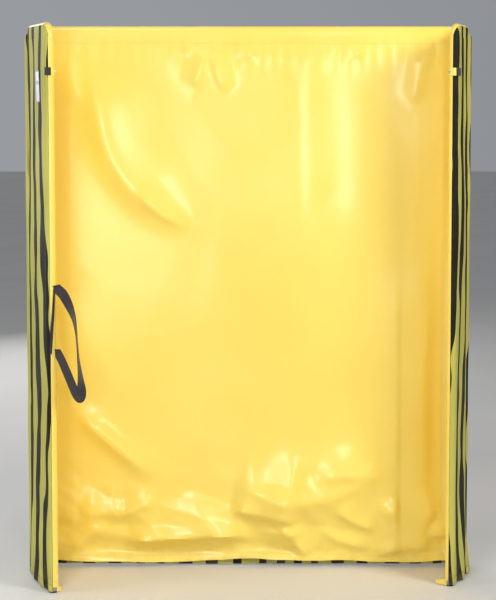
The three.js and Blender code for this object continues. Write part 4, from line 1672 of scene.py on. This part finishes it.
@dataclass
class SewnLabel:
    """The blank label on the outside of the left wing."""

    round_corner: float = 0.004

    def build(self) -> bpy.types.Object:
        """Lays the label on the striped cover."""
        wing = WINGS[Side.LEFT]
        low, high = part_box("blank_label")
        z = (low.z + high.z) / 2
        tall = high.z - low.z
        centre = (low + high) / 2
        along = (centre - wing.near).dot(wing.along)
        wide = 0.05
        x = np.linspace(-1, 1, 21)[None] * wide / 2
        y = np.linspace(-1, 1, 35)[:, None] * tall / 2
        pull = 1 - smooth(tall / 2 - self.round_corner, tall / 2, np.abs(y)) * self.round_corner / wide * 1.6
        x = x * pull
        out = -(SHEET_R + 0.0040 + 0.0010 * np.sin(30 * y) + np.zeros(x.shape))
        places = wing.place(along + x, out, z + y + np.zeros(x.shape))
        flat = np.stack(np.broadcast_arrays(x, y), -1)
        made = sewn("blank_label_patch", [Patch(places, flat, 0.0008)], KIT.label)
        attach(made, "left_wing")
        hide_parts("blank_label")
        return made


class Hardware:
    """The tubes, fittings, feet and screws of the frame, dressed where they stand."""

    finishes: dict[str, str] = {
        "_screw": "zinc",
        "_foot": "rubber",
        "_post": "steel",
        "_rail": "steel",
        "_elbow": "nylon",
        "_saddle": "nylon",
        "_bracket": "nylon",
        "_collar": "nylon",
    }

    def build(self) -> list[str]:
        """Gives each visible CAD node its finish and smooth shading.

        Returns:
            The names of the nodes dressed.
        """
        dressed = []
        for name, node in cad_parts.items():
            if node.hide_render:
                continue
            finish = next(kit for ending, kit in self.finishes.items() if name.endswith(ending))
            node.data.materials.clear()
            node.data.materials.append(getattr(KIT, finish))
            node.data.shade_smooth()
            weld = node.modifiers.new("weld", "WELD")
            weld.merge_threshold = 0.00001
            split = node.modifiers.new("edges", "EDGE_SPLIT")
            split.split_angle = math.radians(35)
            dressed.append(name)
        return dressed


@dataclass
class Studio:
    """The floor, the lights and the camera."""

    camera_back: float = 5.20  # from the back curtain to the lens
    camera_up: float = 1.58
    camera_across: float = 0.0
    lens: float = 93.36
    pitch: float = 4.0
    shift: float = -0.15
    horizon: float = 0.31
    sky: float = 0.31

    def floor(self) -> None:
        """Lays a plain pale floor."""
        half = 30.0
        vertices = np.array([[-half, -half, 0], [half, -half, 0], [half, half, 0], [-half, half, 0]], float)
        floor = mesh_object("floor", vertices, [(0, 1, 2, 3)], vertices[:, :2])
        floor.data.materials.append(FloorPaint("pale_floor").material())

    def box_light(
        self, name: str, at: Vector, to: Vector, size: tuple[float, float], watts: float, tone: Colour
    ) -> None:
        """Hangs a soft box.

        Args:
            name: The light's name.
            at: Where it hangs.
            to: What it points at.
            size: Its width and height.
            watts: Its power.
            tone: Its colour.
        """
        data = bpy.data.lights.new(name, "AREA")
        data.shape = "RECTANGLE"
        data.size, data.size_y = size
        data.energy = watts
        data.color = tone
        light = bpy.data.objects.new(name, data)
        light.location = at
        light.rotation_euler = (to - at).to_track_quat("-Z", "Y").to_euler()
        bpy.context.scene.collection.objects.link(light)

    def lights(self) -> None:
        """Hangs the soft boxes and sets the pale surroundings."""
        world = bpy.data.worlds.new("pale_room")
        world.use_nodes = True
        graph = Graph(world.node_tree)
        sky = world.node_tree.nodes["Background"]
        look = graph.node("SeparateXYZ", {"Vector": graph.node("TexCoord").outputs["Generated"]})
        rise = graph.scaled(look.outputs["Z"], 0.0, 0.45, self.horizon, self.sky)
        window = graph.scaled(look.outputs["X"], -0.3, 0.9, 1.15, 0.65)
        graph.feed(sky.inputs["Strength"], graph.maths("MULTIPLY", rise, window))
        sky.inputs["Color"].default_value = (0.90, 0.94, 1.0, 1.0)
        bpy.context.scene.world = world
        aim = Vector((0.0, 0.1, 1.0))
        warm, plain = (1.0, 0.97, 0.92), (1.0, 1.0, 1.0)
        self.box_light("side_right", Vector((3.2, -2.4, 3.3)), aim, (1.5, 1.2), 125, warm)
        self.box_light(
            "key_left", Vector((-0.85, -2.7, 0.95)), Vector((-0.3, 0.16, 0.6)), (0.8, 0.9), 12, warm
        )
        self.box_light(
            "band_right", Vector((0.50, -4.3, 1.55)), Vector((0.3, 0.16, 1.5)), (0.18, 1.0), 20, plain
        )
        self.box_light(
            "band_left", Vector((-0.87, -4.3, 1.40)), Vector((-0.45, 0.16, 1.4)), (0.14, 1.0), 13, plain
        )
        self.box_light("overhead", Vector((-1.0, -2.7, 4.4)), aim, (1.1, 0.7), 48, plain)
        self.box_light("rear_fill", Vector((-2.4, 4.5, 2.2)), aim, (5.0, 3.0), 90, plain)
        self.box_light(
            "wing_fill", Vector((-3.4, -0.9, 1.5)), Vector((-0.7, 0.0, 0.9)), (1.0, 1.4), 30, plain
        )

    def camera(self) -> None:
        """Stands the camera in front of the booth, a little above its middle."""
        data = bpy.data.cameras.new("camera")
        data.lens = self.lens
        data.sensor_width = 36.0
        data.shift_y = self.shift
        made = bpy.data.objects.new("camera", data)
        made.location = (self.camera_across, BACK.near.y - SHEET_R - self.camera_back, self.camera_up)
        made.rotation_euler = (math.radians(90 - self.pitch), 0.0, 0.0)
        bpy.context.scene.collection.objects.link(made)
        bpy.context.scene.camera = made

    def build(self) -> None:
        """Sets up the whole studio."""
        self.floor()
        self.lights()
        self.camera()
        bpy.context.scene.view_settings.view_transform = "Standard"


def main() -> None:
    """Builds the screen's soft pieces, dresses its hardware and sets up the studio."""
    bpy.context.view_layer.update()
    Studio().build()
    makers = [
        ("back curtain", BackCurtain()),
        ("back cover", BackCover()),
        ("left wing", Wing(Side.LEFT, 0.010, 51, reach=-66.0, meet=6.0, snap_at=97.0)),
        (
            "right wing",
            Wing(Side.RIGHT, 0.029, 71, seam=80.0, meet=-30.0, snap_at=52.0, slack=0.001, ruffle=0.013),
        ),
        ("left corner", Corner(Side.LEFT)),
        ("right corner", Corner(Side.RIGHT)),
        ("carry handle", CarryHandle()),
        ("label", SewnLabel()),
        ("hardware", Hardware()),
    ]
    for title, maker in makers:
        made = maker.build()
        LOG.info("%s: %s", title, made)


if __name__ == "__main__":
    logging.basicConfig(level=logging.INFO)
    main()
